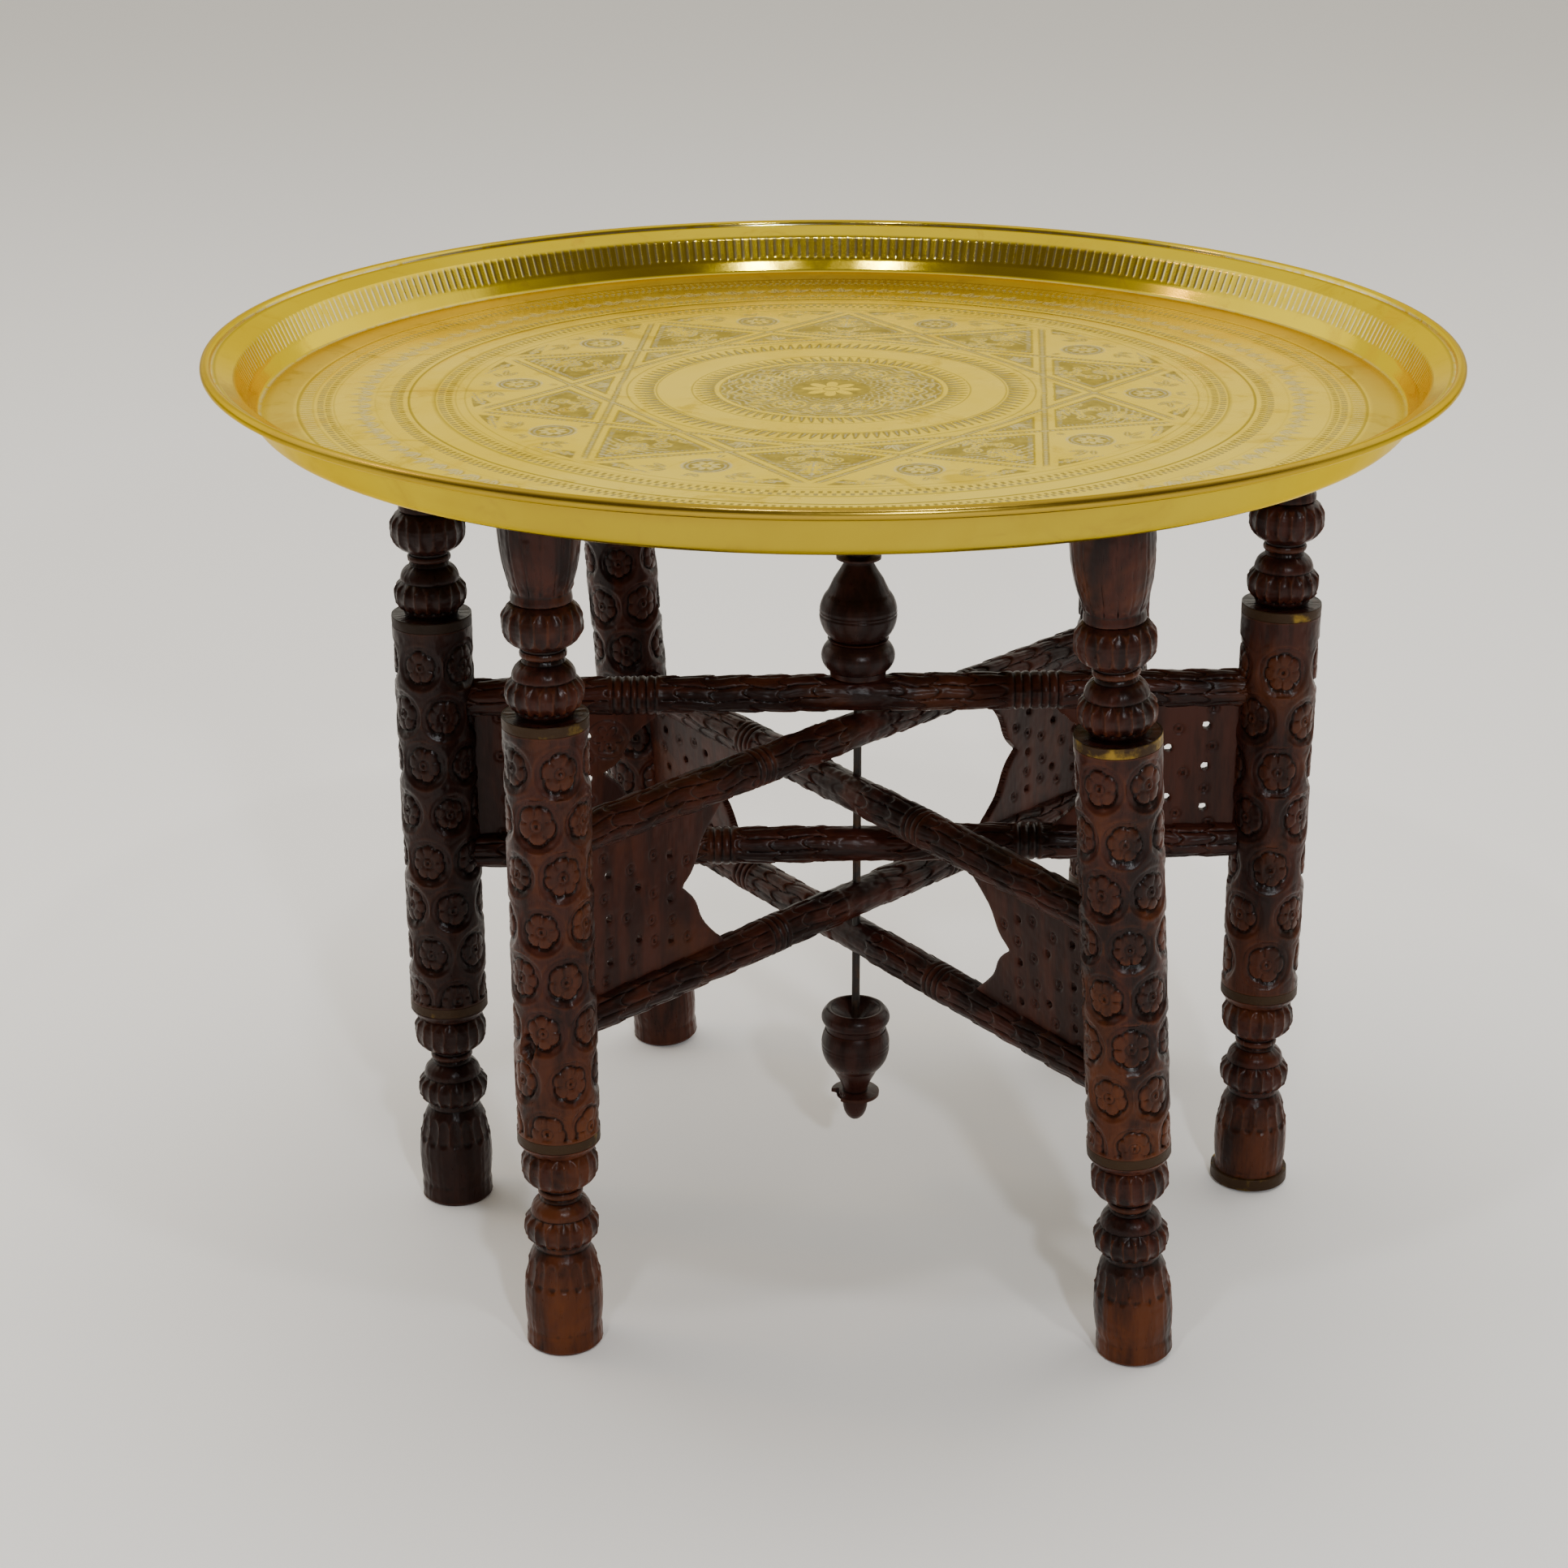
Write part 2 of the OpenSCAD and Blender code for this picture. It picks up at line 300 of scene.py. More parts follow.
def pivot_place(height):
    """The frame of a piece that turns on the rod."""
    at = centre("pivot_rod")
    return Matrix.Translation((at.x, at.y, height))


# ---------------- materials
def rgb(r, g, b):
    return (r, g, b, 1.0)


def plug(socket, value):
    if isinstance(value, Value):
        value.tree.links.new(value.socket, socket)
    else:
        socket.default_value = value


class Value:
    """A node's output, which can be added to, multiplied and so on."""

    def __init__(self, tree, socket):
        self.tree, self.socket = tree, socket

    def calc(self, operation, other):
        n = self.tree.nodes.new("ShaderNodeMath")
        n.operation = operation
        plug(n.inputs[0], self)
        plug(n.inputs[1], other)
        return Value(self.tree, n.outputs[0])

    def __add__(self, other):
        return self.calc("ADD", other)

    def __sub__(self, other):
        return self.calc("SUBTRACT", other)

    def __mul__(self, other):
        return self.calc("MULTIPLY", other)

    def clamped(self):
        self.socket.node.use_clamp = True
        return self

    def step(self, lo, hi):
        """0 below lo and 1 above hi, with a soft step between."""
        n = self.tree.nodes.new("ShaderNodeMapRange")
        n.interpolation_type = "SMOOTHSTEP"
        plug(n.inputs[0], self)
        plug(n.inputs[1], lo)
        plug(n.inputs[2], hi)
        return Value(self.tree, n.outputs[0])

    def mix(self, a, b):
        """Colour a where this is 0, b where it is 1."""
        n = self.tree.nodes.new("ShaderNodeMix")
        n.data_type = "RGBA"
        plug(n.inputs[0], self)
        plug(n.inputs[6], a)
        plug(n.inputs[7], b)
        return Value(self.tree, n.outputs[2])


class Paint:
    """A material of nodes on one Principled shader."""

    def __init__(self, name):
        self.material = bpy.data.materials.new(name)
        self.material.use_nodes = True
        self.tree = self.material.node_tree
        self.tree.nodes.clear()
        out = self.tree.nodes.new("ShaderNodeOutputMaterial")
        self.main = self.tree.nodes.new("ShaderNodeBsdfPrincipled")
        self.tree.links.new(self.main.outputs[0], out.inputs[0])

    def attribute(self, name):
        n = self.tree.nodes.new("ShaderNodeAttribute")
        n.attribute_name = name
        return Value(self.tree, n.outputs["Fac"])

    def noise(self, scale, detail, rough=0.5, warp=0.0, stretch=None):
        """Procedural noise in the object's own coordinates; scale is features per metre."""
        at = Value(self.tree, self.tree.nodes.new("ShaderNodeTexCoord").outputs["Object"])
        if stretch:
            n = self.tree.nodes.new("ShaderNodeMapping")
            plug(n.inputs["Scale"], stretch)
            plug(n.inputs["Vector"], at)
            at = Value(self.tree, n.outputs[0])
        n = self.tree.nodes.new("ShaderNodeTexNoise")
        settings = {"Vector": at, "Scale": scale, "Detail": detail, "Roughness": rough, "Distortion": warp}
        for key, value in settings.items():
            plug(n.inputs[key], value)
        return Value(self.tree, n.outputs[0])

    def finished(self, settings, height=None, distance=0.0003, strength=0.5):
        """The material with the shader's inputs set, and bumps of that height in metres."""
        for key, value in settings.items():
            plug(self.main.inputs[key], value)
        if height:
            n = self.tree.nodes.new("ShaderNodeBump")
            for key, value in (("Strength", strength), ("Distance", distance), ("Height", height)):
                plug(n.inputs[key], value)
            plug(self.main.inputs["Normal"], Value(self.tree, n.outputs[0]))
        return self.material


def carved_wood(name, dark, body, worn, stretch, wear, gloss=0.30):
    """Old varnished hardwood: red-brown on the faces, orange where worn, and near black in the cuts as
    painted shade.
    """
    paint = Paint(name)
    grain = paint.noise(60, 6, 0.62, stretch=stretch)
    fine = paint.noise(420, 3, 0.7, stretch=stretch)
    edge, warm = paint.attribute("edge"), paint.attribute("warm")
    face = grain.step(0.40, 0.62).mix(dark, body)
    patch = paint.noise(16, 4, 0.6, 0.4).step(0.52, 0.72) * wear
    face = (patch + warm * grain.step(0.30, 0.62)).clamped().mix(face, worn)
    rubbed = edge + (grain - 0.5) * 0.8
    face = (rubbed.step(0.35, 0.9) * (0.12 + 0.3 * wear)).mix(face, worn)
    # Painted shade: the carving's hollows, found from its shape, are darkened to near black.
    painted_hollow_shade = (edge * -1.0).step(0.10, 0.7) * 0.75
    face = painted_hollow_shade.mix(face, rgb(0.004, 0.0022, 0.0018))
    settings = {"Base Color": face, "Roughness": fine * 0.24 + (gloss - 0.11), "Specular IOR Level": 0.15}
    return paint.finished(settings, fine + grain * 1.5)


def engraved_brass():
    """Old polished brass: patina blotches, grey-brown matted ground and silvery worn strokes; the
    spun wall and rim are yellower and shinier than the floor, and the underside is duller. Painted
    shade darkens a ring of the floor by the wall, and the outside up under the rim."""
    paint = Paint("tray brass")
    cut, ground, silver, spun, dull_and_edge_shade, stains_and_shade = map(
        paint.attribute, ("cut", "ground", "silver", "spun", "dull_and_edge_shade", "stains_and_shade"))
    blot, worn = paint.noise(22, 6, 0.7, 1.2), paint.noise(150, 3, 0.6)
    cloud = paint.noise(7, 5, 0.6, 0.6).step(0.35, 0.68)
    floor = cloud.mix(rgb(0.95, 0.80, 0.20), rgb(0.87, 0.70, 0.11))
    wall = cloud.mix(rgb(0.66, 0.505, 0.022), rgb(0.60, 0.445, 0.014))
    colour = spun.mix(floor, wall)
    for share, laid in (
        (blot.step(0.52, 0.68) * 0.55, rgb(0.50, 0.35, 0.03)),
        (paint.noise(5.5, 6, 0.62, 1.6).step(0.60, 0.70) * 0.4, rgb(0.62, 0.36, 0.03)),
        # Brown stains on the floor and rim bead, and painted shade on the outside up under the rim.
        (stains_and_shade * 0.8, rgb(0.42, 0.26, 0.03)),
        (ground * (worn * 0.7 + 0.35), rgb(0.175, 0.145, 0.075)),
        (silver * worn.step(0.28, 0.55) * 0.9, rgb(0.62, 0.63, 0.56)),
        (cut * 0.85, rgb(0.12, 0.09, 0.025)),
        # A duller brown underside, and painted shade in a ring of the floor by the wall.
        (dull_and_edge_shade, rgb(0.20, 0.13, 0.045)),
    ):
        colour = share.mix(colour, laid)
    rough = blot * 0.16 + 0.13 - spun * 0.085 + ground * 0.24 + dull_and_edge_shade * 0.35
    tint = rgb(1.0, 0.84, 0.35)
    settings = {"Base Color": colour, "Metallic": 1.0, "Specular Tint": tint, "Roughness": rough}
    return paint.finished(settings, paint.noise(900, 2, 0.6) * (ground + 0.08), strength=0.6)


def worn_brass(name, bright, stain, bare):
    """Thin brass strip, stained brown with bare bright patches."""
    paint = Paint(name)
    clean = (paint.noise(45, 5, 0.6) + bare).step(0.56, 0.72)
    fine = paint.noise(500, 3, 0.6)
    settings = {"Base Color": clean.mix(stain, bright), "Metallic": clean * 0.8 + 0.1,
                "Roughness": fine * 0.3 + 0.33, "Specular IOR Level": 0.15}
    return paint.finished(settings, fine)


def dull_iron():
    """Dark iron rod with brown rust bloom."""
    paint = Paint("rod iron")
    rust = paint.noise(90, 6, 0.65)
    colour = rust.step(0.45, 0.68).mix(rgb(0.028, 0.024, 0.022), rgb(0.07, 0.035, 0.018))
    settings = {"Base Color": colour, "Metallic": 0.7, "Roughness": rust * 0.3 + 0.35}
    return paint.finished(settings, paint.noise(700, 2), 0.0002, 0.6)


# ---------------- carving
def lobes(angle, count, phase=0.0):
    """Round ridges about the axis: 0 in the grooves between them, 1 along their crowns."""
    return abs(sin(count * (angle + phase) / 2))


def facets(angle, count, phase=0.0):
    """Flat cuts about the axis: 0 on the edges between them, 1 along their middles."""
    half = math.pi / count
    t = (angle + phase) % (2 * half) - half
    return (math.cos(half) / cos(half) - math.cos(half) / cos(t)) / (1 - math.cos(half))


def spoons(angle, z, count, phase, at, half):
    """A row of rounded gouge cuts about the axis, 1 deep at their middles."""
    across = ((angle + phase) * count / TURN % 1) * 2 - 1
    return np.sqrt(clip(1 - 0.86 * across ** 2 - ((z - at) / half) ** 2, 0, 1))


def bulb_unit(z):
    """Profile of two bulbs with a ring between them, from the lower end up."""
    return [
        (17, z),
        *arc(7, z + 12.2, 16.6, 12.2, -50, 48, 14),
        *arc(8.4, z + 21.6, 10.1, 10.4, 4, 66),
        (12.2, z + 33.2),
        *arc(12.2, z + 35.9, 1.4, 2.5, -80, 80, 6),
        (12.4, z + 39),
        *arc(8, z + 54, 16.2, 14.6, -52, 52),
        (17, z + UNIT_H),
    ]


def band_seat(z, width, outer, depth):
    """Shallow step turned into a leg for a brass band."""
    return [(outer, z), (outer - depth, z), (outer - depth, z + width), (outer, z + width)]


def leg_profile(foot_band):
    foot = [(0, 0), (FOOT_FLAT_R, 0), (23.6, 1.6)]
    if foot_band:
        foot += band_seat(FOOT_BAND_Z, FOOT_BAND_W, 23.6, 0.7)
    else:
        foot += [(23.6, 9.6)]
    return [
        *foot,
        *arc(13.4, 30, 11, 37, -28, 66, 10),
        (16.6, FOOT_H - 1),
        *bulb_unit(FOOT_H),
        (21.6, CYL_LO + 0.2),
        (LEG_R - 0.6, CYL_LO + 4),
        (LEG_R, CYL_LO + 5),
        *band_seat(LOW_BAND_Z, BAND_W, LEG_R, BAND_T),
        *band_seat(TOP_BAND_Z, BAND_W, LEG_R, BAND_T),
        (LEG_R - 0.1, CYL_HI - 0.8),
        (LEG_R - 0.8, CYL_HI),
        *bulb_unit(CYL_HI),
        (16.4, LEG_H - FOOT_H + 0.8),
        (17.6, LEG_H - FOOT_H + 1.6),
        (17.6, LEG_H - FOOT_H + 3.2),
        *arc(8.6, LEG_H - 18, 15.8, 50, -58, 12, 10),
        (24, LEG_H - 1.6),
        (FOOT_FLAT_R, LEG_H),
        (0, LEG_H),
    ]


def bulbs_carving(angle, u, phase):
    """Gouge cuts round the two bulbs of a unit; u is the height above its lower end."""
    low = spoons(angle, u, 18, phase, 11.6, 9.4)
    high = spoons(angle, u, 18, phase + 0.1, 54.0, 10.2)
    lines = 0.5 * hollow(u, 33.4, 0.6) + 0.5 * hollow(u, 38.6, 0.6)
    return -1.8 * low - 1.7 * high - lines


def foot_carving(angle, z, phase):
    """Tall uneven facets down the foot, under gouge cuts round its shoulder."""
    drift = angle + 0.05 * round_noise(angle, 4, z / 14, 61)
    tall = window(z, 3, 45, 3) * (0.7 * facets(drift, 15, phase) + 0.7 * (1 - lobes(drift, 15, phase)) ** 4)
    shoulder = 1.7 * spoons(angle, z, 17, phase, 51.5, 9.5)
    return -tall - shoulder


def bell_carving(angle, z, phase):
    """Tall facets with scalloped ends round the bell under the tray."""
    start = LEG_H - FOOT_H + 9 + 4 * lobes(angle, 15, phase)
    tall = window(z, start, LEG_H - 5, 2.5)
    return -tall * (0.8 * facets(angle, 15, phase) + 1.1 * (1 - lobes(angle, 15, phase)) ** 4)


class Rosettes:
    """Carved flowers in dished round recesses, in staggered rows round a leg's cylinder."""

    RECESS_R = 15.4
    FLOWER_R = 11.2
    DEPTH = 2.1

    def __init__(self, columns, rows, pitch, first, seed):
        random = np.random.default_rng(seed)
        shape = (rows + 2, columns)
        self.columns, self.rows, self.pitch, self.top = columns, rows, pitch, CYL_HI - first
        self.phase = random.uniform(-0.12, 0.12)
        self.shift = random.normal(0, 0.55, (2, *shape))
        self.size = random.normal(1, 0.045, shape) * (1 if columns == 5 else 1.1)
        self.turned = random.uniform(-math.pi, math.pi, shape)
        self.petals = random.choice([5, 6, 6, 6, 7], shape)
        self.glow = random.uniform(0.0, 1.0, shape) ** 1.3

    def nearest(self, angle, z, row):
        """Distance, direction and index of the nearest flower of a row."""
        step = TURN / self.columns
        phase = self.phase + (row % 2) * step / 2
        column = np.round((angle - phase) / step).astype(int)
        index = column % self.columns
        store = clip(row, -1, self.rows) + 1
        du, dv = self.shift[0, store, index], self.shift[1, store, index]
        x = LEG_R * (angle - phase - column * step) - du
        y = z - (self.top - row * self.pitch) - dv
        return hypot(x, y), arctan2(y, x), store, index

    def depth(self, angle, z, warmth=False):
        """How deep the carving is, or with warmth how far each flower is worn to orange."""
        row = np.round((self.top - z) / self.pitch).astype(int)
        live = (row >= 0) & (row < self.rows)
        far, way, store, index = self.nearest(angle, z, row)
        size = self.size[store, index]
        far = far / size
        spin = self.petals[store, index] * (way + self.turned[store, index])
        lobe = abs(cos(spin / 2))
        flower = self.FLOWER_R * (0.83 + 0.17 * lobe ** 0.6)
        lower = 0.75 + 0.40 * smooth(-0.2, 1.0, -sin(way))
        dish = self.DEPTH * lower * (1 - smooth(flower + 0.6, self.RECESS_R, far)) ** 1.25
        dish = dish * smooth(flower - 0.7, flower + 0.5, far)
        dish = dish + 0.95 * hollow(far, self.RECESS_R - 0.9, 1.0) + 0.35 * hollow(far, flower + 0.4, 0.7)
        inside = 1 - smooth(flower - 0.8, flower + 0.2, far)
        between = smooth(0.60, 1.0, 1 - lobe) * smooth(3.5, 6.5, far)
        petal = 0.35 + 0.35 * smooth(7.0, 11.0, far) + 0.75 * between
        eye = 0.8 * hollow(far, 3.5, 0.9) + 1.3 * (1 - smooth(0.6, 1.7, far))
        if warmth:
            return live * self.glow[store, index] * inside * (1 - smooth(9.5, 11.0, far) * 0.4)
        above, below = (self.nearest(angle, z, row + side)[0] for side in (-1, 1))
        strap = hollow(minimum(minimum(above, below) - far * size, 4), 0.0, 0.8)
        return live * (dish + inside * (petal + eye) + 0.4 * strap * smooth(13.5, 15.0, far))


def leg_carving(leg, flowers, seed):
    phases = np.random.default_rng(seed + 50).uniform(0, TURN, 4)

    def relief(angle, z):
        turned = angle + 0.03 * round_noise(angle, 3, z / 9, seed)
        in_foot, in_bell = z < FOOT_H - 2, z > LEG_H - FOOT_H + 4
        in_cyl = (z > LOW_BAND_Z + BAND_W + 1.5) & (z < TOP_BAND_Z - 1.5)
        cut = where(in_foot, foot_carving(turned, z, phases[0]), 0)
        for i, base in enumerate((FOOT_H, CYL_HI)):
            u = z - base
            cut = where((u > 0) & (u < UNIT_H), bulbs_carving(turned, u, phases[1 + i]), cut)
        cut = where(in_cyl, -flowers.depth(angle, z), cut)
        cut = where(in_bell, bell_carving(turned, z, phases[3]), cut)
        cut = cut - 0.9 * hollow(z, CYL_HI - 0.2, 0.8)
        rough = 0.16 * round_noise(angle, 9, z / 3.0, seed + 3)
        chips = smooth(0.55, 0.9, round_noise(angle, 4, z / 6, seed + 9))
        seat = (z < 0.1) | (z > LEG_H - 0.1)
        for start in (LOW_BAND_Z, TOP_BAND_Z):
            seat = seat | ((z > start - 0.5) & (z < start + BAND_W + 0.5))
        cut = cut + where(seat, 0, rough - 0.35 * chips)
        if leg == "front_left":
            gone = hypot(LEG_R * repeated(angle, 1, BROKEN_AT[0]), 0.6 * (z - BROKEN_AT[1]))
            cut = cut - 5.5 * (1 - smooth(3.0, 6.0, gone + 1.5 * round_noise(angle, 4, z / 4)))
        return cut

    return relief


def make_legs(wood, brass):
    for seed, (leg, (_, body, columns, rows, pitch, first, worn)) in enumerate(LEGS.items(), 1):
        place = leg_place(leg)
        flowers = Rosettes(columns, rows, pitch, first, seed)
        relief = leg_carving(leg, flowers, seed)
        points, faces, edge = lathe(leg_profile(leg == "right"), relief, LEG_COUNT, LEG_STEP)
        angle, z = arctan2(points[:, 1], points[:, 0]) % TURN, points[:, 2]
        warm = 0.55 * worn * flowers.depth(angle, z, warmth=True)
        warm = warm + (1.25 * worn - 0.1) * (1 - smooth(34, 70, z))
        warm = warm + 0.5 * worn * window(z, CYL_LO + 20, CYL_LO + 60, 25)
        build(f"{leg}_carved_leg", f"{leg}_leg", body, "leg_wood", wood[leg], place, points, faces,
              edge=edge, warm=warm)
        bands = ("top", TOP_BAND_Z, leg, seed), ("low", LOW_BAND_Z, "low", seed + 20)
        for end, start, look, draw in bands:
            make_band(f"{leg}_{end}_band", body, start, BAND_W, LEG_R, BAND_T, place, brass[look], draw)
    place = leg_place("right")
    make_band("right_foot_band", "top_frame", FOOT_BAND_Z, FOOT_BAND_W, 25.4, 2.5, place, brass["foot"], 40)


def make_band(node, body, z, width, outer, thick, place, material, seed):
    """A thin beaten brass strip let into a leg, with slightly uneven edges."""
    edge = 0.35
    profile = [
        (outer - thick, z), (outer - edge, z), (outer, z + edge), (outer, z + width - edge),
        (outer - edge, z + width), (outer - thick, z + width), (outer - thick, z),
    ]

    def relief(angle, height):
        dents = 0.14 * round_noise(angle, 5, height / 3, seed)
        return dents * (height > z + 0.1) * (height < z + width - 0.1)

    points, faces, _ = lathe(profile, relief, 144, 0.9, closed=True)
    build(f"{node}_strip", node, body, "band_brass", material, place, points, faces)


# ---------------- rails
def rail_carving(rings, seed):
    """Overlapping leaf cuts along a rail, with groups of turned rings and a plain middle."""
    strips, length = 8, 23.0
    random = np.random.default_rng(100 + seed)
    offset = random.uniform(0, 1, strips)
    pace = random.uniform(0.9, 1.12, strips)

    def relief(angle, z):
        side = angle / TURN * strips + 0.25 * noise(abs(z) / 18, 0, sign(z) * 4, seed)
        strip = np.floor(side).astype(int) % strips
        across = (side % 1) * 2 - 1
        outward = abs(z) / (length * pace[strip]) + offset[strip] + 0.35 * across ** 2
        part = outward % 1
        leaf = 1.5 * part ** 1.5 * (1 - smooth(0.93, 1.0, part)) + 0.9 * smooth(0.7, 1.0, abs(across)) ** 2
        leaf = leaf + 0.35 * hollow(across, 0, 0.12) * window(part, 0.2, 0.8, 0.1)
        quiet = most(window(z, -17, 17, 5) * 0.75, *(window(z, at - 8, at + 8, 2.5) for at in rings))
        grooves = sum(1.1 * hollow(z, at + beside, 0.9) for at in rings for beside in (-5.4, 0.0, 5.4))
        rough = 0.22 * round_noise(angle, 5, z / 4, seed) - 0.15
        split = 0.9 * hollow(LEG_R * ((angle - 5.2) % TURN) / 2, 0, 0.35) * window(z, -14, 6, 3)
        centre_cut = 0.8 * window(z, -18, 18, 4)
        return 0.8 - 0.85 * leaf * (1 - quiet) - grooves - split - centre_cut + rough

    return relief


def make_rails(wood):
    inset = 5                           # how far a rail's visible end goes into its leg
    for seed, (rail, (leg, body, rings)) in enumerate(RAILS.items()):
        reach = (leg_place(leg).translation - leg_place(LEGS[leg][0]).translation).length / MM / 2
        end = reach - LEG_R + inset
        profile = [(0, -end), (RAIL_R - 0.3, -end), (RAIL_R - 0.3, end), (0, end)]
        points, faces, edge = lathe(profile, rail_carving(rings, seed), 120, 0.95)
        place = rail_place(rail)
        build(f"{rail}_carved", rail, body, "rail_wood", wood[body], place, points, faces, edge=edge)


# ---------------- finials and rod
CHIP_AT, CHIP_HALF = math.radians(200), 0.5      # where the bottom finial's disc is broken off


def finial_profile(top):
    """Turned knob with its flat end at height 0: bulb or dished ring, vase, neck, disc and tip."""
    if top:
        return [
            (0, 0), (17.6, 0), *arc(10, 13, 13.4, 12, -52, 60, 10), (18.8, 23.4), (19.4, 24.4),
            *arc(8, 41, 16.7, 19.5, -56, 46, 12), (15.8, 63), (12, 69), (9.4, 73.6), (9.2, 75.2),
            (14.2, 76.6), (14.2, 78), (8.6, 79.4), *arc(0, 83, 8.4, 11, -8, 90, 8),
        ]
    dish = 9
    down = [
        (0, -dish), (4.1, -dish), *arc(18, -2.6, 2.6, 2.6, 150, 60, 5), *arc(12, -6.6, 10.6, 8, 30, -40, 8),
        (19.4, -17.6), (19.6, -18.6), *arc(6, -26.5, 16.6, 21, 32, -56, 14), (9.6, -54.6), (8.3, -58.4),
        (8.3, -60.2), (16, -61.4), (16, -63.6), (8.6, -65.2), *arc(0, -69, 8.4, 13.5, 8, -90, 8),
    ]
    return down[::-1]


def make_finial(node, top, groove, wood):
    low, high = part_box(node)
    place = pivot_place(low.z if top else high.z)

    def relief(angle, z):
        lines = 0.5 * hollow(z, groove, 0.7) + 0.35 * hollow(z, groove + (2.2 if top else -2.2), 0.5)
        return 0.07 * round_noise(angle, 3, z / 5, 77) - lines

    def limit(angle, z):
        chip = (z > -64.4) & (z < -60.6) & (abs(repeated(angle, 1, CHIP_AT)) < CHIP_HALF)
        return where(chip & (not top), 10.6 + 0.9 * noise(angle * 5, 0, z / 2, 12), 99)

    points, faces, edge = lathe(finial_profile(top), relief, 144, 0.8, limit=limit)
    build(f"{node}_turned", node, "pivot", "finial_wood", wood, place, points, faces, edge=edge)


def make_rod(iron):
    low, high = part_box("pivot_rod")
    place = pivot_place(low.z)
    length, edge = (high.z - low.z) / MM, 0.4
    half = [(0, 0), (ROD_R - edge, 0), (ROD_R, edge)]
    profile = half + [(r, length - z) for r, z in half[::-1]]

    def relief(angle, z):
        return 0.05 * round_noise(angle, 2, z / 5, 5) - 0.05

    points, faces, _ = lathe(profile, relief, 32, 1.5)
    build("pivot_rod_worn", "pivot_rod", "pivot", "rod_iron", iron, place, points, faces)


# ---------------- panels
PANEL_HORN_R, PANEL_NOTCH_R, PANEL_LAP = 126, 162, 3
HOLE_R = 2.5
# Holes and punched rings of a panel: distance from the pivot, height from the panel's middle
HOLES = [(223, 27), (223, -1), (223, -29), (199, 12), (199, -22), (172, 25), (172, -4), (172, -31)]
RINGS = [
    (205, 25), (227, 13), (209, -5), (223, -16), (205, -33), (186, 4), (158, 17),
    (186, 29), (186, -27), (171, 10), (171, -18), (188, -13), (158, -33), (227, -40), (227, 39),
]


def outline_distance(x, y, points):
    """Signed distance to a closed outline, negative inside it."""
    best = np.full(x.shape, 1e9)
    inside = np.zeros(x.shape, bool)
    for (ax, ay), (bx, by) in zip(points, points[1:] + points[:1]):
        ex, ey = bx - ax, by - ay
        t = clip(((x - ax) * ex + (y - ay) * ey) / max(ex * ex + ey * ey, 1e-12), 0, 1)
        best = minimum(best, hypot(x - ax - t * ex, y - ay - t * ey))
        if ay != by:
            crosses = (ay > y) != (by > y)
            inside ^= crosses & (x < ax + (y - ay) * ex / ey)
    return where(inside, -best, best)


def panel_outline(out, half):
    """Outline of a panel, x from the pivot and y from its middle; its inner edge is a bracket."""
    depth = PANEL_NOTCH_R - PANEL_HORN_R
    free = half - PANEL_LAP
    side = []
    for t in np.linspace(0, 1, 13):
        swell = 0.09 * math.sin(TURN * t) * (1 - t / 2)
        side.append((PANEL_NOTCH_R - depth * (0.82 * t + swell), free * t * 0.86))
    upper = side + [(PANEL_HORN_R + depth * 0.12, free * 0.9), (PANEL_HORN_R, free)]
    lower = [(x, -y) for x, y in upper[:0:-1]]
    return [(out, -half), (PANEL_HORN_R, -half), *lower, *upper, (PANEL_HORN_R, half), (out, half)]


def panel_mesh(outline, half, out, seed, motif):
    """A board of fine square cells, trimmed to its outline and holes, punched and worn."""
    cell = 0.95
    xs = np.arange(PANEL_HORN_R - 2, out + 2, cell)
    ys = np.arange(-half - 2, half + 2, cell)
    x, y = np.meshgrid(xs, ys, indexing="ij")

    def distance(px, py):
        d = outline_distance(px, py, outline) + 0.25 * noise(px / 7, py / 7, 0, seed)
        for hx, hy in HOLES:
            d = most(d, HOLE_R - hypot(px - hx, py - hy))
        return d

    d = distance(x, y)
    keep = d < 0.45 * cell
    step = 0.05
    gx = (distance(x + step, y) - d) / step
    gy = (distance(x, y + step) - d) / step
    close = keep & (d > -0.55 * cell)
    x, y = where(close, x - d * gx, x), where(close, y - d * gy, y)
    d = where(close, 0, d)
    face = PANEL_T / 2 - 0.7 * exp(clip(d, -9, 0) / 0.7) - 0.12 - 0.12 * noise(x / 4, y / 4, 0.5, seed)
    for rx, ry in RINGS:
        far = hypot(x - rx, y - ry)
        face = face - 0.75 * hollow(far, 3.2, 0.8) - 1.2 * (1 - smooth(0.8, 1.7, far))
    if motif:
        mx, my = PANEL_HORN_R + 33, 23
        far, way = hypot(x - mx, y - my), arctan2(y - my, x - mx)
        petal = 9.5 * abs(cos(3 * way)) ** 0.5
        face = face - 0.8 * hollow(far, petal, 0.9) * (far > 2) - 0.7 * hollow(far, 13, 0.8)
    first, second = slice(None, -1), slice(1, None)
    corners = ((first, first), (second, first), (second, second), (first, second))
    quads = np.logical_and.reduce([keep[corner] for corner in corners])
    used = np.zeros(x.shape, bool)
    for corner in corners:
        used[corner] |= quads
    ids = np.zeros(x.shape, int)
    ids[used] = np.arange(used.sum())
    front = np.stack([ids[corner][quads] for corner in corners], axis=1)
    n = int(used.sum())
    flat = np.stack([x[used], y[used]], axis=1)
    points = np.concatenate([np.c_[flat, face[used]], np.c_[flat, -face[used]]])
    sides = np.concatenate([front[:, [k, (k + 1) % 4]] for k in range(4)])
    _, at, count = np.unique(np.sort(sides, axis=1), axis=0, return_index=True, return_counts=True)
    rim = sides[at[count == 1]]
    walls = np.stack([rim[:, 1], rim[:, 0], rim[:, 0] + n, rim[:, 1] + n], axis=1)
    faces = front.tolist() + (front[:, ::-1] + n).tolist() + walls.tolist()
    edge = where(d > -1.2, 0.5, 0) + 1.2 * (face - blurred(blurred(face, 2, 0, False), 2, 1, False))
    return points, faces, np.concatenate([edge[used]] * 2)


